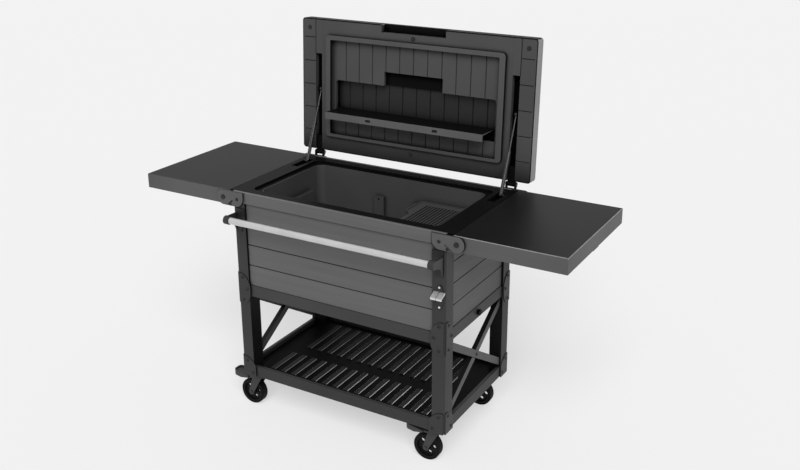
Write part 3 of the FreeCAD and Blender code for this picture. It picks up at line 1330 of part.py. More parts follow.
def brake_pedal():
    """Foot pedal over the wheel: an arm between the fork legs, a dished pad, and a pin through the legs."""
    pivot = pedal_pivot()
    half = WHEEL_W / 2 + FORK_GAP - SEAT
    reach = WHEEL_W / 2 + FORK_GAP + FORK_T
    pin = rod(PEDAL_PIN_R, pivot - Y_AXIS * reach, pivot + Y_AXIS * reach)
    hub = rod(PEDAL_HUB_R, pivot - Y_AXIS * half, pivot + Y_AXIS * half)
    low = pivot.z - PEDAL_HUB_R
    pad_start = PEDAL_PAD_L - PEDAL_REACH
    arm = box((pad_start, pivot.x), (-half, half), (low, low + PEDAL_T))
    tip = low + PEDAL_T + PEDAL_PAD_RISE
    y = -PEDAL_W / 2
    side = [Vector(pad_start, y, low), Vector(pad_start - PEDAL_PAD_L / 2, y, low - PEDAL_PAD_SAG),
            Vector(-PEDAL_REACH, y, low), Vector(-PEDAL_REACH, y, tip), Vector(pad_start, y, low + PEDAL_T)]
    pad = extrude(polygon(side), Vector(0, PEDAL_W, 0))
    corners = [e for e in pad.Edges if e.BoundBox.XMax < EDGE_BREAK - PEDAL_REACH and e.BoundBox.YLength < 1]
    pad = pad.makeFillet(PEDAL_TIP_R, corners)
    dish = rounded_block(PEDAL_PAD_L - 2 * PEDAL_RIM, PEDAL_W - 2 * PEDAL_RIM, PEDAL_TIP_R - PEDAL_RIM,
                         -PEDAL_DISH, PEDAL_PAD_L)
    dish.rotate(ORIGIN, Y_AXIS, math.degrees(math.atan2(PEDAL_PAD_RISE, PEDAL_PAD_L)))
    dish.translate(Vector(pad_start - PEDAL_PAD_L / 2, 0, low + PEDAL_T + PEDAL_PAD_RISE / 2))
    return fuse([pin, hub, arm, pad.cut(dish)])


def frame_pieces():
    """Pieces of the standing frame and the cooler box, by name."""
    long_rails, short_rails = box_rails()
    front_rail, rear_rail, side_rails = shelf_rails()
    braces = brace_pair()
    board = apron()
    mid_plates, foot_plates = corner_plates()
    pieces = posts()
    pieces["rear_panel"] = long_panel()
    pieces["front_panel"] = mirrored(pieces["rear_panel"], Y_AXIS)
    pieces["right_panel"] = short_panel()
    pieces["left_panel"] = mirrored(pieces["right_panel"], X_AXIS)
    pieces["aprons"] = Part.makeCompound([board, mirrored(board, Y_AXIS)])
    pieces["long_box_rails"] = long_rails
    pieces["short_box_rails"] = short_rails
    pieces["box_floor"] = box_floor()
    pieces["tub_liner"] = tub_liner()
    pieces["tub_steps"] = tub_steps()
    pieces["tub_foam"] = tub_foam()
    pieces["rim_frame"] = rim_frame()
    pieces["front_shelf_rail"] = front_rail
    pieces["rear_shelf_rail"] = rear_rail
    pieces["side_shelf_rails"] = side_rails
    pieces["shelf_grate"] = shelf_grate()
    pieces["side_braces"] = Part.makeCompound([mirrored(bar, X_AXIS) for bar in braces] + braces)
    pieces["mid_corner_plates"] = mid_plates
    pieces["foot_corner_plates"] = foot_plates
    pieces["leaf_hinge_plates"] = Part.makeCompound(at_corners(hinge_plate()))
    pieces["frame_bolts"] = frame_bolts()
    pieces["pivot_pins"] = pivot_pins()
    return pieces


def fitting_pieces():
    """Pieces fastened to the frame or moving on it: handle, opener, drain, tray and leaves."""
    bracket = handle_bracket()
    base = handle_base()
    leaf = right_leaf()
    return {
        "handle_tube": handle_tube(),
        "handle_brackets": Part.makeCompound([mirrored(bracket, X_AXIS), bracket]),
        "handle_bases": Part.makeCompound([mirrored(base, X_AXIS), base]),
        "bottle_opener": opener_hood(),
        "opener_plate": opener_plate(),
        "drain_spout": drain_spout(),
        "drain_cap": drain_cap(),
        "tray": tray(),
        "right_leaf": leaf,
        "left_leaf": mirrored(leaf, X_AXIS),
    }


def lid_pieces():
    """Lid pieces in the open position, its fixed brackets and the two struts."""
    closed = {
        "lid_cover": lid_cover(),
        "lid_liner": lid_liner(),
        "lid_side_bands": lid_side_bands(),
        "lid_foam": lid_foam(),
        "lid_gasket": lid_gasket(),
        "lid_bumpers": lid_bumpers(),
        "lid_hinge_arms": lid_hinge_arms(),
        "lid_shelf": lid_shelf(),
    }
    pieces = {name: opened(shape) for name, shape in closed.items()}
    pieces["lid_hinge_brackets"] = hinge_brackets()
    length, lean = strut_line()
    cylinder, bar = strut_cylinder(), strut_rod(length)
    for side, word in zip(SIDES, ("left", "right")):
        pieces[word + "_strut_cylinder"] = strut_placed(cylinder, side, lean)
        pieces[word + "_strut_rod"] = strut_placed(bar, side, lean)
    return pieces


def caster_pieces():
    """Four casters, of which the front two have brake pedals."""
    pieces = {}
    plates = []
    names = ["front_left", "front_right", "rear_left", "rear_right"]
    for name, (side, end) in zip(names, CORNERS):
        spot = Vector(side * CASTER_X, end * CASTER_Y, 0)
        braked = end < 0
        plates.append(caster_plate().translated(spot))
        pieces[name + "_fork"] = caster_fork(braked).translated(spot)
        pieces[name + "_wheel"] = wheel().translated(spot + Vector(-TRAIL, 0, WHEEL_R))
        if braked:
            pieces[name + "_pedal"] = brake_pedal().translated(spot)
    pieces["caster_plates"] = Part.makeCompound(plates)
    return pieces


def middle_y(pieces):
    """Middle of the cart from the front of its handle to the back of its open lid."""
    front = pieces["handle_brackets"].optimalBoundingBox(False).YMin
    back = pieces["lid_cover"].optimalBoundingBox(False).YMax
    return (front + back) / 2


def main():
    """Build every piece and write it about the middle of the cart."""
    pieces = {**frame_pieces(), **fitting_pieces(), **lid_pieces(), **caster_pieces()}
    shift = Vector(0, -middle_y(pieces), 0)
    os.makedirs("parts", exist_ok=True)
    for name, shape in pieces.items():
        shape.translated(shift).exportStep(os.path.join("parts", name + ".step"))


main()
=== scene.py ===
import math

import bmesh
import bpy
from mathutils import Matrix, Vector


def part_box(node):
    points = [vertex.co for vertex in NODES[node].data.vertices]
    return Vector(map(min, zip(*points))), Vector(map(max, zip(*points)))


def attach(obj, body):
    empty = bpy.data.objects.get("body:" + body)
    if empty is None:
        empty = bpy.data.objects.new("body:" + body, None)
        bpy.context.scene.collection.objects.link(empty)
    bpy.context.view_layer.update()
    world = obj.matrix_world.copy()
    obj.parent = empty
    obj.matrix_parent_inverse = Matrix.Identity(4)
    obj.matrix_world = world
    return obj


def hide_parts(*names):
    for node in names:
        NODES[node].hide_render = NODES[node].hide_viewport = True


# Beverage cooler cart, in metres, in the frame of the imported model: X to the right, front faces -Y, Z up.
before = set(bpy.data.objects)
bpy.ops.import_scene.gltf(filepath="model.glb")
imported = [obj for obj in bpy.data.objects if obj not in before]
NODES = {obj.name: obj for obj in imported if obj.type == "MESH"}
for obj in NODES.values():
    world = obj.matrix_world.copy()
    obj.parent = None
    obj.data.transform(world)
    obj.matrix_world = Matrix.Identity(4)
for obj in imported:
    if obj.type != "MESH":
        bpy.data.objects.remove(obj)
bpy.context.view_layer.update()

# Camera, as the photograph was taken: turned to the right of the front and looking slightly down.
# Angles are in degrees, and the sensor and lens in millimetres.
VIEW_AZIMUTH = 29.234
VIEW_ELEVATION = 18.798
VIEW_ROLL = 0.077
VIEW_DISTANCE = 3.689
VIEW_ASIDE = 0.1786
VIEW_ABOVE = 0.3780
VIEW_TARGET = Vector((0.0, -0.0065, 0.5))
SENSOR_W = 36.0
LENS = 43.63
SHIFT_X = -0.0270
SHIFT_Y = -0.0563

# Light and floor: greys and strengths for which one is white, the sun's strength, and its angles in degrees
FLOOR_SIZE = 40.0
FLOOR_COLOUR = 0.95
FLOOR_GLOW = 0.50
BACKGROUND = 0.875
SKY_HORIZON = 0.60
SKY_ZENITH = 0.24
KEY_LIGHT = 2.5
KEY_AZIMUTH = 30.0
KEY_ELEVATION = 42.0
KEY_SPREAD = 40.0

# Lean of the open lid behind the upright, in degrees, and the height of the strip of painted shade at its
# hinges
LID_LEAN = 3.0
HINGE_SHADE = 0.085
# Depths in the lid between which painted shade turns a pocket black, and between which the niche's darker
# painted shade takes over
POCKET_DEPTH = (0.017, 0.023)
NICHE_DEPTH = (0.0366, 0.0372)
# Depths in a groove between two boards of the box, between which painted shade turns it black
GROOVE_DEPTH = (0.0006, 0.0012)
# Heights of a shelf slat's side, down from its top, between which the floor of the shelf turns into the slat
SLAT_SIDE = (0.0036, 0.0028)
# Share of a wheel's radius where the tyre starts, and the width over which the core turns into it
TYRE_START = 0.78
TYRE_BLUR = 0.001

# Axis and sign of each side of the cart, as seen from the front
SIDES = {
    "left": ("X", -1.0), "right": ("X", 1.0), "front": ("Y", -1.0), "rear": ("Y", 1.0),
    "bottom": ("Z", -1.0), "top": ("Z", 1.0),
}
# How squarely a surface faces along an axis: where the tone of that side starts, and where it is full.
# All but the leaf's top face set painted highlights or painted shade
SLAT_HIGHLIGHT = (0.25, 0.5)
UPPER_HIGHLIGHT = (0.45, 0.65)
OUTER_SIDE = (0.45, 0.75)
PAINTED_SIDE_FACING = (0.6, 0.8)
TOP_FACE = (0.8, 0.9)
PLATE_FACE = (0.80, 0.95)

# Range that most of a noise lies in
NOISE_RANGE = (0.3, 0.7)
# Painted shade in corners and recesses, from ambient occlusion: their usual width, how open a spot is where
# the painted shade is darkest and where it is clear, and the share of its colour that is left at the darkest
PAINTED_SHADE_REACH = 0.03
PAINTED_SHADE_OPEN = (0.30, 0.90)
PAINTED_SHADE_KEEP = 0.05
PAINTED_SHADE_SAMPLES = 8

# Moulded resin: its surface, and the scales of its flow marks and its grain
RESIN_ROUGHNESS = 0.48
RESIN_SHINE = 0.18
RESIN_FLOW = 3.5
RESIN_GRAIN = 1400.0
# Coated steel
COAT_ROUGHNESS = 0.45
# Foam in the walls and in the lid
FOAM_DARK = (0.70, 0.62, 0.42)
FOAM_LIGHT = (0.88, 0.82, 0.62)

# Round on sharp edges of nodes whose corners show
EDGE_ROUNDS = {
    0.0005: ("bottle_opener", "tray"),
    0.0008: ("leaf_hinge_plates", "mid_corner_plates", "foot_corner_plates", "shelf_grate", "lid_shelf"),
    0.0010: ("front_panel", "right_panel", "left_panel", "rear_panel", "aprons", "side_braces",
             "handle_brackets", "lid_cover", "rim_frame", "lid_gasket"),
    0.0015: ("long_box_rails", "short_box_rails", "front_shelf_rail", "rear_shelf_rail", "side_shelf_rails"),
    0.0020: ("post_front_left", "post_front_right", "post_rear_left", "post_rear_right"),
}
ROUND_SEGMENTS = 2
# Angles in degrees: the least one that counts as a sharp edge, and the largest one within a flat face
SHARP_ANGLE = 28.0
FLAT_ANGLE = 0.15
# Distance at which two points of a mesh are one
SAME_POINT = 0.00001

# Bolt head: its outline from the foot to the rim of the socket, as shares of its radius and height
BOLT_DOME = ((1.0, 0.0), (1.0, 0.30), (0.96, 0.52), (0.84, 0.76), (0.66, 0.93), (0.50, 1.0))
BOLT_SIDES = 24
SOCKET_SHARE = 0.42
SOCKET_FLOOR = 0.35


def link(obj):
    """The object, put into the scene."""
    bpy.context.scene.collection.objects.link(obj)
    return obj


def view_axes():
    """Right, up and back directions of the camera."""
    turn = math.radians(VIEW_AZIMUTH)
    lift = math.radians(VIEW_ELEVATION)
    roll = math.radians(VIEW_ROLL)
    back = Vector((math.sin(turn) * math.cos(lift), -math.cos(turn) * math.cos(lift), math.sin(lift)))
    right = Vector((math.cos(turn), math.sin(turn), 0))
    up = back.cross(right)
    rolled_right = right * math.cos(roll) + up * math.sin(roll)
    rolled_up = up * math.cos(roll) - right * math.sin(roll)
    return rolled_right, rolled_up, back


def add_camera():
    """Camera at the photograph's place, with its lens and framing."""
    right, up, back = view_axes()
    place = VIEW_TARGET + back * VIEW_DISTANCE + right * VIEW_ASIDE + up * VIEW_ABOVE
    data = bpy.data.cameras.new("camera")
    data.sensor_width = SENSOR_W
    data.lens = LENS
    data.shift_x = SHIFT_X
    data.shift_y = SHIFT_Y
    camera = link(bpy.data.objects.new("camera", data))
    turned = Matrix((right, up, back)).transposed().to_4x4()
    camera.matrix_world = Matrix.Translation(place) @ turned
    bpy.context.scene.camera = camera


def seen_directly(tree):
    """Output that is one for rays from the camera, from gloss and through glass, and zero for the rest."""
    path = tree.nodes.new("ShaderNodeLightPath")
    total = path.outputs["Is Camera Ray"]
    for name in ("Is Glossy Ray", "Is Transmission Ray"):
        larger = tree.nodes.new("ShaderNodeMath")
        larger.operation = "MAXIMUM"
        tree.links.new(total, larger.inputs[0])
        tree.links.new(path.outputs[name], larger.inputs[1])
        total = larger.outputs[0]
    return total


def add_world():
    """Soft studio light that is stronger from the sides than from above, and a pale backdrop."""
    world = bpy.data.worlds.new("studio")
    bpy.context.scene.world = world
    world.use_nodes = True
    tree = world.node_tree
    tree.nodes.clear()
    seen = tree.nodes.new("ShaderNodeBackground")
    seen.inputs["Color"].default_value = (BACKGROUND, BACKGROUND, BACKGROUND, 1)
    direction = tree.nodes.new("ShaderNodeTexCoord")
    height = tree.nodes.new("ShaderNodeSeparateXYZ")
    tree.links.new(direction.outputs["Generated"], height.inputs["Vector"])
    level = tree.nodes.new("ShaderNodeMapRange")
    level.inputs["To Min"].default_value = SKY_HORIZON
    level.inputs["To Max"].default_value = SKY_ZENITH
    tree.links.new(height.outputs["Z"], level.inputs["Value"])
    sky = tree.nodes.new("ShaderNodeBackground")
    tree.links.new(level.outputs["Result"], sky.inputs["Strength"])
    mix = tree.nodes.new("ShaderNodeMixShader")
    tree.links.new(seen_directly(tree), mix.inputs[0])
    tree.links.new(sky.outputs[0], mix.inputs[1])
    tree.links.new(seen.outputs[0], mix.inputs[2])
    output = tree.nodes.new("ShaderNodeOutputWorld")
    tree.links.new(mix.outputs[0], output.inputs["Surface"])


def add_key_light():
    """Broad soft light from above, in front and to the right."""
    data = bpy.data.lights.new("key", "SUN")
    data.energy = KEY_LIGHT
    data.angle = math.radians(KEY_SPREAD)
    lamp = link(bpy.data.objects.new("key", data))
    turn = math.radians(KEY_AZIMUTH)
    lift = math.radians(KEY_ELEVATION)
    away = Vector((math.sin(turn) * math.cos(lift), -math.cos(turn) * math.cos(lift), math.sin(lift)))
    lamp.rotation_euler = away.to_track_quat("Z", "Y").to_euler()


def add_floor():
    """Plain pale floor that keeps the shadow and shows as the backdrop."""
    mesh = bpy.data.meshes.new("floor")
    half = FLOOR_SIZE / 2
    corners = [(-half, -half, 0), (half, -half, 0), (half, half, 0), (-half, half, 0)]
    mesh.from_pydata(corners, [], [(0, 1, 2, 3)])
    floor = link(bpy.data.objects.new("floor", mesh))
    mat = bpy.data.materials.new("floor")
    mat.use_nodes = True
    tree = mat.node_tree
    tree.nodes.clear()
    plain = tree.nodes.new("ShaderNodeBsdfDiffuse")
    plain.inputs["Color"].default_value = (FLOOR_COLOUR, FLOOR_COLOUR, FLOOR_COLOUR, 1)
    glow = tree.nodes.new("ShaderNodeEmission")
    share = tree.nodes.new("ShaderNodeMath")
    share.operation = "MULTIPLY"
    share.inputs[1].default_value = FLOOR_GLOW
    tree.links.new(seen_directly(tree), share.inputs[0])
    mix = tree.nodes.new("ShaderNodeMixShader")
    tree.links.new(share.outputs[0], mix.inputs[0])
    tree.links.new(plain.outputs[0], mix.inputs[1])
    tree.links.new(glow.outputs[0], mix.inputs[2])
    output = tree.nodes.new("ShaderNodeOutputMaterial")
    tree.links.new(mix.outputs[0], output.inputs["Surface"])
    mesh.materials.append(mat)


class Finish:
    """A node material under construction, with its shader and short calls for common nodes."""

    def __init__(self, name, roughness, shine, metal=0.0):
        self.material = bpy.data.materials.new(name)
        self.material.use_nodes = True
        self.tree = self.material.node_tree
        self.shader = self.tree.nodes["Principled BSDF"]
        self.shader.inputs["Roughness"].default_value = roughness
        self.shader.inputs["Specular IOR Level"].default_value = shine
        self.shader.inputs["Metallic"].default_value = metal
        self.coords = self.tree.nodes.new("ShaderNodeTexCoord")
        self.normal = None

    def join(self, source, target):
        """Link from an output to an input."""
        self.tree.links.new(source, target)

    def noise(self, scale, stretch=(1, 1, 1), detail=2.0, rough=0.55):
        """Noise over the piece's own coordinates, stretched along an axis by a small factor there."""
        mapping = self.tree.nodes.new("ShaderNodeMapping")
        mapping.inputs["Scale"].default_value = stretch
        self.join(self.coords.outputs["Object"], mapping.inputs["Vector"])
        node = self.tree.nodes.new("ShaderNodeTexNoise")
        node.inputs["Scale"].default_value = scale
        node.inputs["Detail"].default_value = detail
        node.inputs["Roughness"].default_value = rough
        self.join(mapping.outputs["Vector"], node.inputs["Vector"])
        return node.outputs["Fac"]

    def spread(self, value, low, high, start=NOISE_RANGE[0], end=NOISE_RANGE[1]):
        """Value brought from one range to another."""
        node = self.tree.nodes.new("ShaderNodeMapRange")
        node.inputs["From Min"].default_value = start
        node.inputs["From Max"].default_value = end
        node.inputs["To Min"].default_value = low
        node.inputs["To Max"].default_value = high
        self.join(value, node.inputs["Value"])
        return node.outputs["Result"]

    def rise(self, value, start, end):
        """Zero on one side of a range of values, one on its other side, and between them within it."""
        return self.spread(value, 0, 1, start, end)

    def combine(self, operation, first, second):
        """Sum, product or like of two values."""
        node = self.tree.nodes.new("ShaderNodeMath")
        node.operation = operation
        for value, socket in ((first, node.inputs[0]), (second, node.inputs[1])):
            if isinstance(value, (int, float)):
                socket.default_value = value
            else:
                self.join(value, socket)
        return node.outputs[0]

    def largest(self, values):
        """Largest of several values."""
        most = values[0]
        for value in values[1:]:
            most = self.combine("MAXIMUM", most, value)
        return most

    def axis_of(self, name, axis):
        """One axis of the piece's own coordinates or normals."""
        split = self.tree.nodes.new("ShaderNodeSeparateXYZ")
        self.join(self.coords.outputs[name], split.inputs["Vector"])
        return split.outputs[axis]

    def place(self, axis):
        """Place on the piece's own axis."""
        return self.axis_of("Object", axis)

    def facing(self, side):
        """How squarely a surface faces to a side of the cart, from minus one to one."""
        axis, sign = SIDES[side]
        return self.combine("MULTIPLY", self.axis_of("Normal", axis), sign)

    def facing_either(self, axis):
        """How squarely a surface faces along an axis, either way, from zero to one."""
        return self.combine("ABSOLUTE", self.axis_of("Normal", axis), 0.0)

    def tint(self, value, dark, light):
        """Colour between two others, by a value from zero to one."""
        node = self.tree.nodes.new("ShaderNodeMix")
        node.data_type = "RGBA"
        node.inputs["A"].default_value = (*dark, 1)
        node.inputs["B"].default_value = (*light, 1)
        self.join(value, node.inputs["Factor"])
        return node.outputs["Result"]

    def blend(self, value, first, second):
        """Colour output between two others, by a value from zero to one."""
        node = self.tree.nodes.new("ShaderNodeMix")
        node.data_type = "RGBA"
        self.join(value, node.inputs["Factor"])
        self.join(first, node.inputs["A"])
        self.join(second, node.inputs["B"])
        return node.outputs["Result"]

    def shade(self, value, level, vary=0.1):
        """Grey that wanders about one level by a share of it."""
        return self.tint(self.spread(value, 0, 1), grey(level * (1 - vary)), grey(level * (1 + vary)))

    def colour(self, output, shade_reach=PAINTED_SHADE_REACH):
        """Use an output as the base colour, with painted shade in corners and in recesses about as narrow as
        given.
        """
        occlusion = self.tree.nodes.new("ShaderNodeAmbientOcclusion")
        occlusion.samples = PAINTED_SHADE_SAMPLES
        occlusion.inputs["Distance"].default_value = shade_reach
        clear = self.spread(occlusion.outputs["AO"], PAINTED_SHADE_KEEP, 1.0, *PAINTED_SHADE_OPEN)
        node = self.tree.nodes.new("ShaderNodeMix")
        node.data_type = "RGBA"
        node.blend_type = "MULTIPLY"
        node.inputs["Factor"].default_value = 1.0
        self.join(output, node.inputs["A"])
        self.join(clear, node.inputs["B"])
        self.join(node.outputs["Result"], self.shader.inputs["Base Color"])

    def roughness(self, value, low, high):
        """Roughness between two levels, by a noise."""
        self.join(self.spread(value, low, high), self.shader.inputs["Roughness"])

    def gloss(self, output):
        """Use an output as the strength of the reflection."""
        self.join(output, self.shader.inputs["Specular IOR Level"])

    def relief(self, height, depth):
        """Add surface relief from a height output, with its depth in metres, to the relief so far."""
        node = self.tree.nodes.new("ShaderNodeBump")
        node.inputs["Distance"].default_value = depth
        self.join(height, node.inputs["Height"])
        if self.normal is not None:
            self.join(self.normal, node.inputs["Normal"])
        self.normal = node.outputs["Normal"]
        self.join(self.normal, self.shader.inputs["Normal"])


def grey(level):
    """Neutral colour of one level."""
    return (level, level, level)


def stretched(along, factor):
    """Scale of a noise on three axes, with a small factor on the axis that it is drawn out along."""
    return [factor if axis == along else 1.0 for axis in "XYZ"]


def resin(name, roughness=RESIN_ROUGHNESS, shine=RESIN_SHINE, flow_depth=0.0005):
    """Fine-grained moulded resin that still needs its colour, and the flow marks that its greys follow."""
    finish = Finish(name, roughness, shine)
    flow = finish.noise(RESIN_FLOW)
    grain = finish.noise(RESIN_GRAIN)
    finish.roughness(grain, low=roughness - 0.06, high=roughness + 0.06)
    finish.relief(grain, depth=0.00005)
    finish.relief(flow, flow_depth)
    return finish, flow


def moulded_resin(name, level, roughness=RESIN_ROUGHNESS, shine=RESIN_SHINE, shade_reach=PAINTED_SHADE_REACH):
    """Moulded resin of one grey."""
    finish, flow = resin(name, roughness, shine)
    finish.colour(finish.shade(flow, level), shade_reach)
    return finish.material


def side_lit_resin(name, rest, shade_reach=PAINTED_SHADE_REACH, shine=RESIN_SHINE, **levels):
    """Moulded resin with painted light and shade: its grey depends on the side of the cart that a surface
    faces.
    """
    finish, flow = resin(name, shine=shine, flow_depth=0.0004)
    tone = finish.shade(flow, rest)
    for side, level in levels.items():
        lit_side_mask = finish.rise(finish.facing(side), *PAINTED_SIDE_FACING)
        tone = finish.blend(lit_side_mask, tone, finish.shade(flow, level))
    finish.colour(tone, shade_reach)
    return finish.material


def lid_depth(finish, low):
    """How deep a spot lies behind the inner face of the leaning lid."""
    lean = math.radians(LID_LEAN)
    back = finish.combine("MULTIPLY", finish.combine("SUBTRACT", finish.place("Y"), low.y), math.cos(lean))
    above = finish.combine("MULTIPLY", finish.combine("SUBTRACT", finish.place("Z"), low.z), math.sin(lean))
    return finish.combine("SUBTRACT", back, above)


def lid_resin(name, level, niche_shade, pocket_shade, hinge_edge_shade):
    """Inner face of the lid: dark resin, with painted shade that turns its pockets black, dims its niche and
    darkens a strip at the hinges.
    """
    finish, flow = resin(name)
    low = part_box("lid_liner")[0]
    depth = lid_depth(finish, low)
    hinge_shade_mask = finish.rise(finish.place("Z"), low.z + HINGE_SHADE, low.z)
    pocket_shade_mask = finish.rise(depth, *POCKET_DEPTH)
    niche_shade_mask = finish.rise(depth, *NICHE_DEPTH)
    tone = finish.blend(hinge_shade_mask, finish.shade(flow, level), finish.shade(flow, hinge_edge_shade))
    tone = finish.blend(pocket_shade_mask, tone, finish.shade(flow, pocket_shade))
    tone = finish.blend(niche_shade_mask, tone, finish.shade(flow, niche_shade))
    finish.colour(tone)
    # Less reflection in the pockets, so that their painted shade stays black
    dull = finish.combine("SUBTRACT", pocket_shade_mask, niche_shade_mask)
    finish.gloss(finish.spread(dull, RESIN_SHINE, 0.0, start=0, end=1))
    return finish.material


def leaf_resin(name, top, sides, edge):
    """Drop leaf: near-black satin on the top face, grey on the sides, and a painted highlight on the broken
    edge.
    """
    finish = Finish(name, roughness=0.42, shine=0.09)
    flow = finish.noise(scale=3.0)
    grain = finish.noise(scale=1300.0)
    on_top = finish.rise(finish.facing("top"), *TOP_FACE)
    highlight_mask = finish.rise(finish.facing("top"), *UPPER_HIGHLIGHT)
    tone = finish.blend(highlight_mask, finish.shade(flow, sides), finish.shade(flow, edge))
    finish.colour(finish.blend(on_top, tone, finish.shade(flow, top, vary=0.15)))
    finish.roughness(grain, low=0.38, high=0.48)
    finish.relief(grain, depth=0.00004)
    finish.relief(flow, depth=0.0004)
    return finish.material


def board_resin(name, level, along, upper_edge_highlight=None, grooved=None):
    """Resin board with wood grain along one axis, a painted highlight on its upper edge and painted shade
    that turns its grooves black.
    """
    finish = Finish(name, RESIN_ROUGHNESS, shine=0.2)
    drawn_out = stretched(along, 0.035)
    grain = finish.noise(scale=260.0, stretch=drawn_out, detail=5.0, rough=0.6)
    streak = finish.noise(scale=45.0, stretch=drawn_out, detail=3.0)
    flow = finish.noise(scale=2.2, detail=1.0)
    wander = finish.combine("ADD", finish.spread(streak, 0, 0.6), finish.spread(flow, 0, 0.4))
    tone = finish.tint(wander, grey(level * 0.90), grey(level * 1.10))
    # Painted highlight on the upper edge
    if upper_edge_highlight is not None:
        highlight_mask = finish.rise(finish.facing("top"), *UPPER_HIGHLIGHT)
        tone = finish.blend(highlight_mask, tone, finish.shade(flow, upper_edge_highlight))
    # Painted shade: deep in a groove the board turns nearly black
    if grooved is not None:
        side, face = grooved
        axis, sign = SIDES[side]
        depth = finish.combine("MULTIPLY", finish.combine("SUBTRACT", finish.place(axis), face), -sign)
        tone = finish.blend(finish.rise(depth, *GROOVE_DEPTH), tone, finish.shade(flow, level * 0.12))
    finish.colour(tone)
    finish.roughness(grain, low=RESIN_ROUGHNESS - 0.08, high=RESIN_ROUGHNESS + 0.08)
    finish.relief(grain, depth=0.0001)
    finish.relief(streak, depth=0.0003)
    return finish.material


def profile_resin(name, outer, inner_shade, outward):
    """Hollow post: grained grey on the sides that face outwards, and painted shade that makes the others
    black.
    """
    finish = Finish(name, RESIN_ROUGHNESS, RESIN_SHINE)
    grain = finish.noise(scale=240.0, stretch=stretched("Z", 0.04), detail=4.0)
    flow = finish.noise(scale=3.0, detail=1.0)
    lit_side_mask = finish.rise(finish.largest([finish.facing(side) for side in outward]), *OUTER_SIDE)
    finish.colour(finish.blend(lit_side_mask, finish.shade(flow, inner_shade, vary=0.2), finish.shade(flow, outer)))
    finish.roughness(grain, low=0.42, high=0.54)
    finish.relief(grain, depth=0.00008)
    return finish.material


def shelf_resin(name, slat, slat_highlight, floor):
    """Lower shelf: matt black floor and dark slats, with a painted highlight on their long edges that grows
    brighter towards the right.
    """
    low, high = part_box("shelf_grate")
    finish = Finish(name, roughness=0.55, shine=0.03)
    grain = finish.noise(scale=240.0, stretch=stretched("Y", 0.05), detail=4.0)
    flow = finish.noise(scale=4.0)
    raised = finish.rise(finish.place("Z"), *(high.z - below for below in SLAT_SIDE))
    highlight_mask = finish.rise(finish.facing_either("X"), *SLAT_HIGHLIGHT)
    painted_glint = finish.tint(finish.rise(finish.place("X"), low.x, high.x), grey(slat), grey(slat_highlight))
    tone = finish.blend(highlight_mask, finish.shade(flow, slat, vary=0.12), painted_glint)
    finish.colour(finish.blend(raised, finish.shade(flow, floor, vary=0.2), tone), shade_reach=0.002)
    finish.roughness(grain, low=0.45, high=0.6)
    finish.relief(grain, depth=0.00008)
    return finish.material


def coat(name, shine):
    """Coated steel with orange peel that still needs its colour, and the clouds that its greys follow."""
    finish = Finish(name, COAT_ROUGHNESS, shine)
    peel = finish.noise(scale=700.0, detail=1.0)
    cloud = finish.noise(scale=6.0)
    finish.roughness(peel, low=COAT_ROUGHNESS - 0.05, high=COAT_ROUGHNESS + 0.05)
    finish.relief(peel, depth=0.00004)
    return finish, cloud


def powder_coat(name, level, shine=0.3):
    """Coated steel of one grey."""
    finish, cloud = coat(name, shine)
    finish.colour(finish.shade(cloud, level, vary=0.15))
    return finish.material


def plate_coat(name, face, edge, axes):
    """Coated plate: grey on its faces, and painted shade that makes its edge walls black."""
    finish, cloud = coat(name, shine=0.25)
    lit_side_mask = finish.rise(finish.largest([finish.facing_either(axis) for axis in axes]), *PLATE_FACE)
    finish.colour(finish.blend(lit_side_mask, finish.shade(cloud, edge, vary=0.2), finish.shade(cloud, face)))
    return finish.material


def brushed_metal(name, level, along, roughness):
    """Bright metal with fine brush lines along one axis."""
    finish = Finish(name, roughness, shine=0.5, metal=1.0)
    lines = finish.noise(scale=2600.0, stretch=stretched(along, 0.01), detail=4.0)
    cloud = finish.noise(scale=9.0)
    finish.colour(finish.shade(cloud, level, vary=0.06))
    finish.roughness(lines, low=roughness - 0.08, high=roughness + 0.1)
    finish.relief(lines, depth=0.00002)
    return finish.material


def gloss_paint(name, level):
    """Glossy black paint with a faint waviness, as on a gas strut."""
    finish = Finish(name, roughness=0.16, shine=0.5)
    wave = finish.noise(scale=40.0)
    finish.colour(finish.shade(wave, level, vary=0.2))
    finish.roughness(wave, low=0.12, high=0.22)
    finish.relief(wave, depth=0.00005)
    return finish.material


def soft_rubber(name, level):
    """Matt rubber with a dusty grain."""
    finish = Finish(name, roughness=0.6, shine=0.2)
    dust = finish.noise(scale=60.0, detail=4.0)
    grain = finish.noise(scale=1800.0)
    finish.colour(finish.shade(dust, level, vary=0.2))
    finish.roughness(grain, low=0.52, high=0.68)
    finish.relief(grain, depth=0.00006)
    return finish.material


def wheel_rubber(node, core, tyre):
    """Caster wheel: a grey moulded core inside a black tyre, told apart by the distance from the axle."""
    low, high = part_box(node)
    middle = (low + high) / 2
    edge = (high.z - low.z) / 2 * TYRE_START
    finish = Finish(node, roughness=0.6, shine=0.08)
    across = finish.combine("SUBTRACT", finish.place("X"), middle.x)
    upright = finish.combine("SUBTRACT", finish.place("Z"), middle.z)
    squares = [finish.combine("POWER", reach, 2.0) for reach in (across, upright)]
    away = finish.combine("POWER", finish.combine("ADD", *squares), 0.5)
    on_tyre = finish.rise(away, edge - TYRE_BLUR / 2, edge + TYRE_BLUR / 2)
    dust = finish.noise(scale=60.0, detail=4.0)
    grain = finish.noise(scale=1500.0)
    finish.colour(finish.blend(on_tyre, finish.shade(dust, core), finish.shade(dust, tyre, vary=0.25)))
    finish.roughness(grain, low=0.5, high=0.7)
    finish.relief(grain, depth=0.00006)
    return finish.material


def insulation(name):
    """Pale closed-cell foam."""
    finish = Finish(name, roughness=0.9, shine=0.1)
    cells = finish.noise(scale=400.0, detail=4.0)
    finish.colour(finish.tint(finish.spread(cells, 0, 1), FOAM_DARK, FOAM_LIGHT))
    finish.relief(cells, depth=0.0006)
    return finish.material


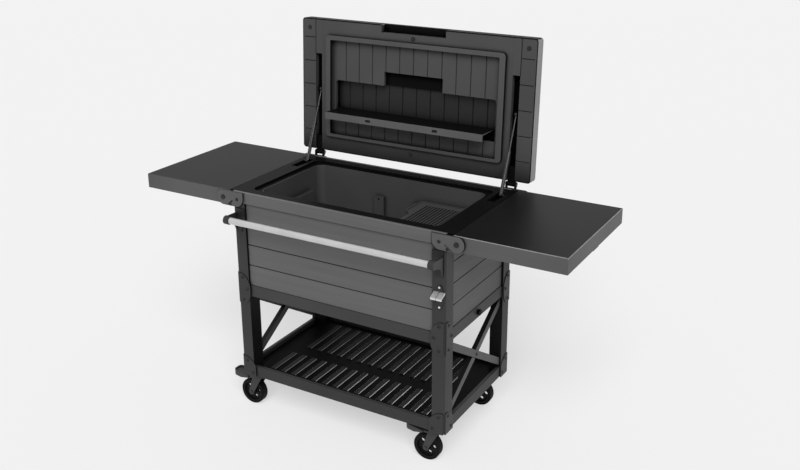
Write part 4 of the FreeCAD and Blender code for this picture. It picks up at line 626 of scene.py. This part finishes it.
def resin_finishes():
    """Shared resins, by the nodes that they are for."""
    # Painted light and shade: the cover's right side is painted light, its top and front dark; the lid
    # shelf's top and underside and the gasket's flanks are painted dark
    cover = side_lit_resin(
        "cover", rest=0.020, shine=0.06, front=0.005, top=0.003, rear=0.070, right=0.280, left=0.060)
    lid_shelf = side_lit_resin("lid_shelf", rest=0.105, shade_reach=0.02, shine=0.06, top=0.003, bottom=0.020)
    return {
        ("long_box_rails", "short_box_rails"): moulded_resin("rail", level=0.042),
        ("front_shelf_rail", "rear_shelf_rail", "side_shelf_rails"): moulded_resin("low_rail", level=0.030),
        ("aprons",): board_resin("apron", level=0.105, along="X", upper_edge_highlight=0.130),
        ("tub_liner", "tub_steps"): moulded_resin("tub", level=0.052, shade_reach=0.04),
        ("tray",): moulded_resin("tray", level=0.056, shade_reach=0.012),
        ("lid_liner", "lid_side_bands"):
            lid_resin("lid", level=0.062, niche_shade=0.017, pocket_shade=0.006, hinge_edge_shade=0.014),
        ("lid_cover",): cover,
        ("lid_shelf",): lid_shelf,
        ("lid_gasket",): side_lit_resin("gasket", rest=0.006, shade_reach=0.02, front=0.072),
        # Painted light: the right leaf gets lighter sides and a much brighter edge highlight than the left
        # leaf
        ("left_leaf",): leaf_resin("left_leaf", top=0.006, sides=0.088, edge=0.075),
        ("right_leaf",): leaf_resin("right_leaf", top=0.007, sides=0.098, edge=0.270),
        ("shelf_grate",): shelf_resin("shelf", slat=0.026, slat_highlight=1.00, floor=0.002),
        ("rim_frame", "box_floor", "drain_cap", "drain_spout", "lid_hinge_arms", "lid_hinge_brackets"):
            moulded_resin("black", level=0.004, roughness=0.5, shine=0.04),
        ("tub_foam", "lid_foam"): insulation("foam"),
        ("lid_bumpers",): soft_rubber("seal", level=0.020),
    }


def metal_finishes():
    """Shared metals and coats, by the nodes that they are for."""
    forks = tuple(node for node in NODES if node.endswith("_fork"))
    pedals = tuple(node for node in NODES if node.endswith("_pedal"))
    struts = tuple(node for node in NODES if "_strut_" in node)
    return {
        ("frame_bolts", "pivot_pins", "handle_bases", "caster_plates"): powder_coat("steel", level=0.014),
        ("handle_brackets",): powder_coat("bracket", level=0.026),
        pedals: powder_coat("pedal", level=0.040),
        forks: powder_coat("fork", level=0.042, shine=0.2),
        struts: gloss_paint("paint", level=0.014),
        # Painted shade: the plates and braces turn black on their edge walls
        ("leaf_hinge_plates",): plate_coat("hinge_plate", face=0.085, edge=0.006, axes="Y"),
        ("mid_corner_plates", "foot_corner_plates", "opener_plate"):
            plate_coat("corner_plate", face=0.028, edge=0.002, axes="XY"),
        ("side_braces",): plate_coat("brace", face=0.065, edge=0.006, axes="X"),
        ("handle_tube",): brushed_metal("handle", level=0.62, along="X", roughness=0.3),
        ("bottle_opener",): brushed_metal("bright", level=0.72, along="Z", roughness=0.36),
    }


def panel_finishes():
    """Boards of the four sides of the box, with grooves told apart by how far behind the face they lie; the
    left and right panels get a darker grey than the front and rear, as painted shade.
    """
    looks = {}
    for side in ("front", "rear", "left", "right"):
        node = side + "_panel"
        axis, sign = SIDES[side]
        low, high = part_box(node)
        face = (low if sign < 0 else high)["XYZ".index(axis)]
        if axis == "Y":
            looks[node] = board_resin(node, level=0.108, along="X", grooved=(side, face))
        else:
            looks[node] = board_resin(node, level=0.090, along="Y", grooved=(side, face))
    return looks


def post_finishes():
    """Four corner posts, grey on their two outer sides and black with painted shade on the others."""
    looks = {}
    for deep in ("front", "rear"):
        for wide in ("left", "right"):
            node = "post_" + deep + "_" + wide
            looks[node] = profile_resin(node, outer=0.034, inner_shade=0.004, outward=(wide, deep))
    return looks


def finishes():
    """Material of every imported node, by its name."""
    looks = {}
    for shared in (resin_finishes(), metal_finishes()):
        for nodes, material in shared.items():
            looks.update({node: material for node in nodes})
    looks.update(panel_finishes())
    looks.update(post_finishes())
    for node in NODES:
        if node.endswith("_wheel"):
            looks[node] = wheel_rubber(node, core=0.016, tyre=0.004)
    return looks


def soften_edges(obj, width):
    """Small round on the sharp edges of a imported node, without a change to its mesh."""
    weld = obj.modifiers.new("weld", "WELD")
    weld.merge_threshold = SAME_POINT
    flat = obj.modifiers.new("flat", "DECIMATE")
    flat.decimate_type = "DISSOLVE"
    flat.angle_limit = math.radians(FLAT_ANGLE)
    bevel = obj.modifiers.new("bevel", "BEVEL")
    bevel.width = width
    bevel.segments = ROUND_SEGMENTS
    bevel.limit_method = "ANGLE"
    bevel.angle_limit = math.radians(SHARP_ANGLE)
    bevel.use_clamp_overlap = False
    smooth = obj.modifiers.new("smooth", "WEIGHTED_NORMAL")
    smooth.keep_sharp = False


def dress_nodes(looks):
    """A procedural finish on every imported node, and a small round on the edges that show."""
    for name, obj in NODES.items():
        obj.data.materials.clear()
        obj.data.materials.append(looks[name])
    for width, names in EDGE_ROUNDS.items():
        for name in names:
            soften_edges(NODES[name], width)


def loose_boxes(obj):
    """Boxes of the separate closed shells in a node's mesh, in order of their lowest corners."""
    mesh = bmesh.new()
    mesh.from_mesh(obj.data)
    bmesh.ops.remove_doubles(mesh, verts=mesh.verts, dist=SAME_POINT)
    left = set(mesh.verts)
    boxes = []
    while left:
        group = [left.pop()]
        for vert in group:
            for edge in vert.link_edges:
                other = edge.other_vert(vert)
                if other in left:
                    left.remove(other)
                    group.append(other)
        low = Vector([min(v.co[axis] for v in group) for axis in range(3)])
        high = Vector([max(v.co[axis] for v in group) for axis in range(3)])
        boxes.append((low, high))
    mesh.free()
    return sorted(boxes, key=lambda box: tuple(box[0]))


def hexagon(turn):
    """Distance to the side of a unit hexagon in one direction."""
    sixth = math.pi / 3
    return math.cos(sixth / 2) / math.cos(turn % sixth - sixth / 2)


def add_bolt(mesh, low, high):
    """Domed bolt head with a hexagon socket in a mesh, in place of a plain head with that box."""
    size = high - low
    axis = min(range(3), key=lambda index: size[index])
    centre = (low + high) / 2
    out = Vector((0, 0, 0))
    out[axis] = math.copysign(1.0, centre[axis])
    foot = centre - out * size[axis] / 2
    radius = max(size) / 2
    one = Vector((0, 0, 1))
    two = out.cross(one)
    rings = [(share, level, False) for share, level in BOLT_DOME]
    rings += [(SOCKET_SHARE, 1.0, True), (SOCKET_SHARE, SOCKET_FLOOR, True)]
    loops = []
    for share, level, in_socket in rings:
        loop = []
        for index in range(BOLT_SIDES):
            turn = 2 * math.pi * index / BOLT_SIDES
            reach = radius * share * (hexagon(turn) if in_socket else 1.0)
            spot = foot + out * size[axis] * level + (one * math.cos(turn) + two * math.sin(turn)) * reach
            loop.append(mesh.verts.new(spot))
        loops.append(loop)
    for lower, upper in zip(loops, loops[1:]):
        for index in range(BOLT_SIDES):
            after = (index + 1) % BOLT_SIDES
            mesh.faces.new((lower[index], lower[after], upper[after], upper[index]))
    mesh.faces.new(loops[-1])
    mesh.faces.new(list(reversed(loops[0])))


def add_bolts(looks):
    """Domed socket bolts in place of the plain bolt heads on the frame."""
    mesh = bmesh.new()
    for low, high in loose_boxes(NODES["frame_bolts"]):
        add_bolt(mesh, low, high)
    bmesh.ops.recalc_face_normals(mesh, faces=mesh.faces)
    data = bpy.data.meshes.new("socket_bolts")
    mesh.to_mesh(data)
    mesh.free()
    data.materials.append(looks["frame_bolts"])
    bolts = link(bpy.data.objects.new("socket_bolts", data))
    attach(bolts, "frame")
    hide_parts("frame_bolts")


scene = bpy.context.scene
scene.view_settings.view_transform = "Standard"
add_camera()
add_world()
add_key_light()
add_floor()
materials = finishes()
dress_nodes(materials)
add_bolts(materials)
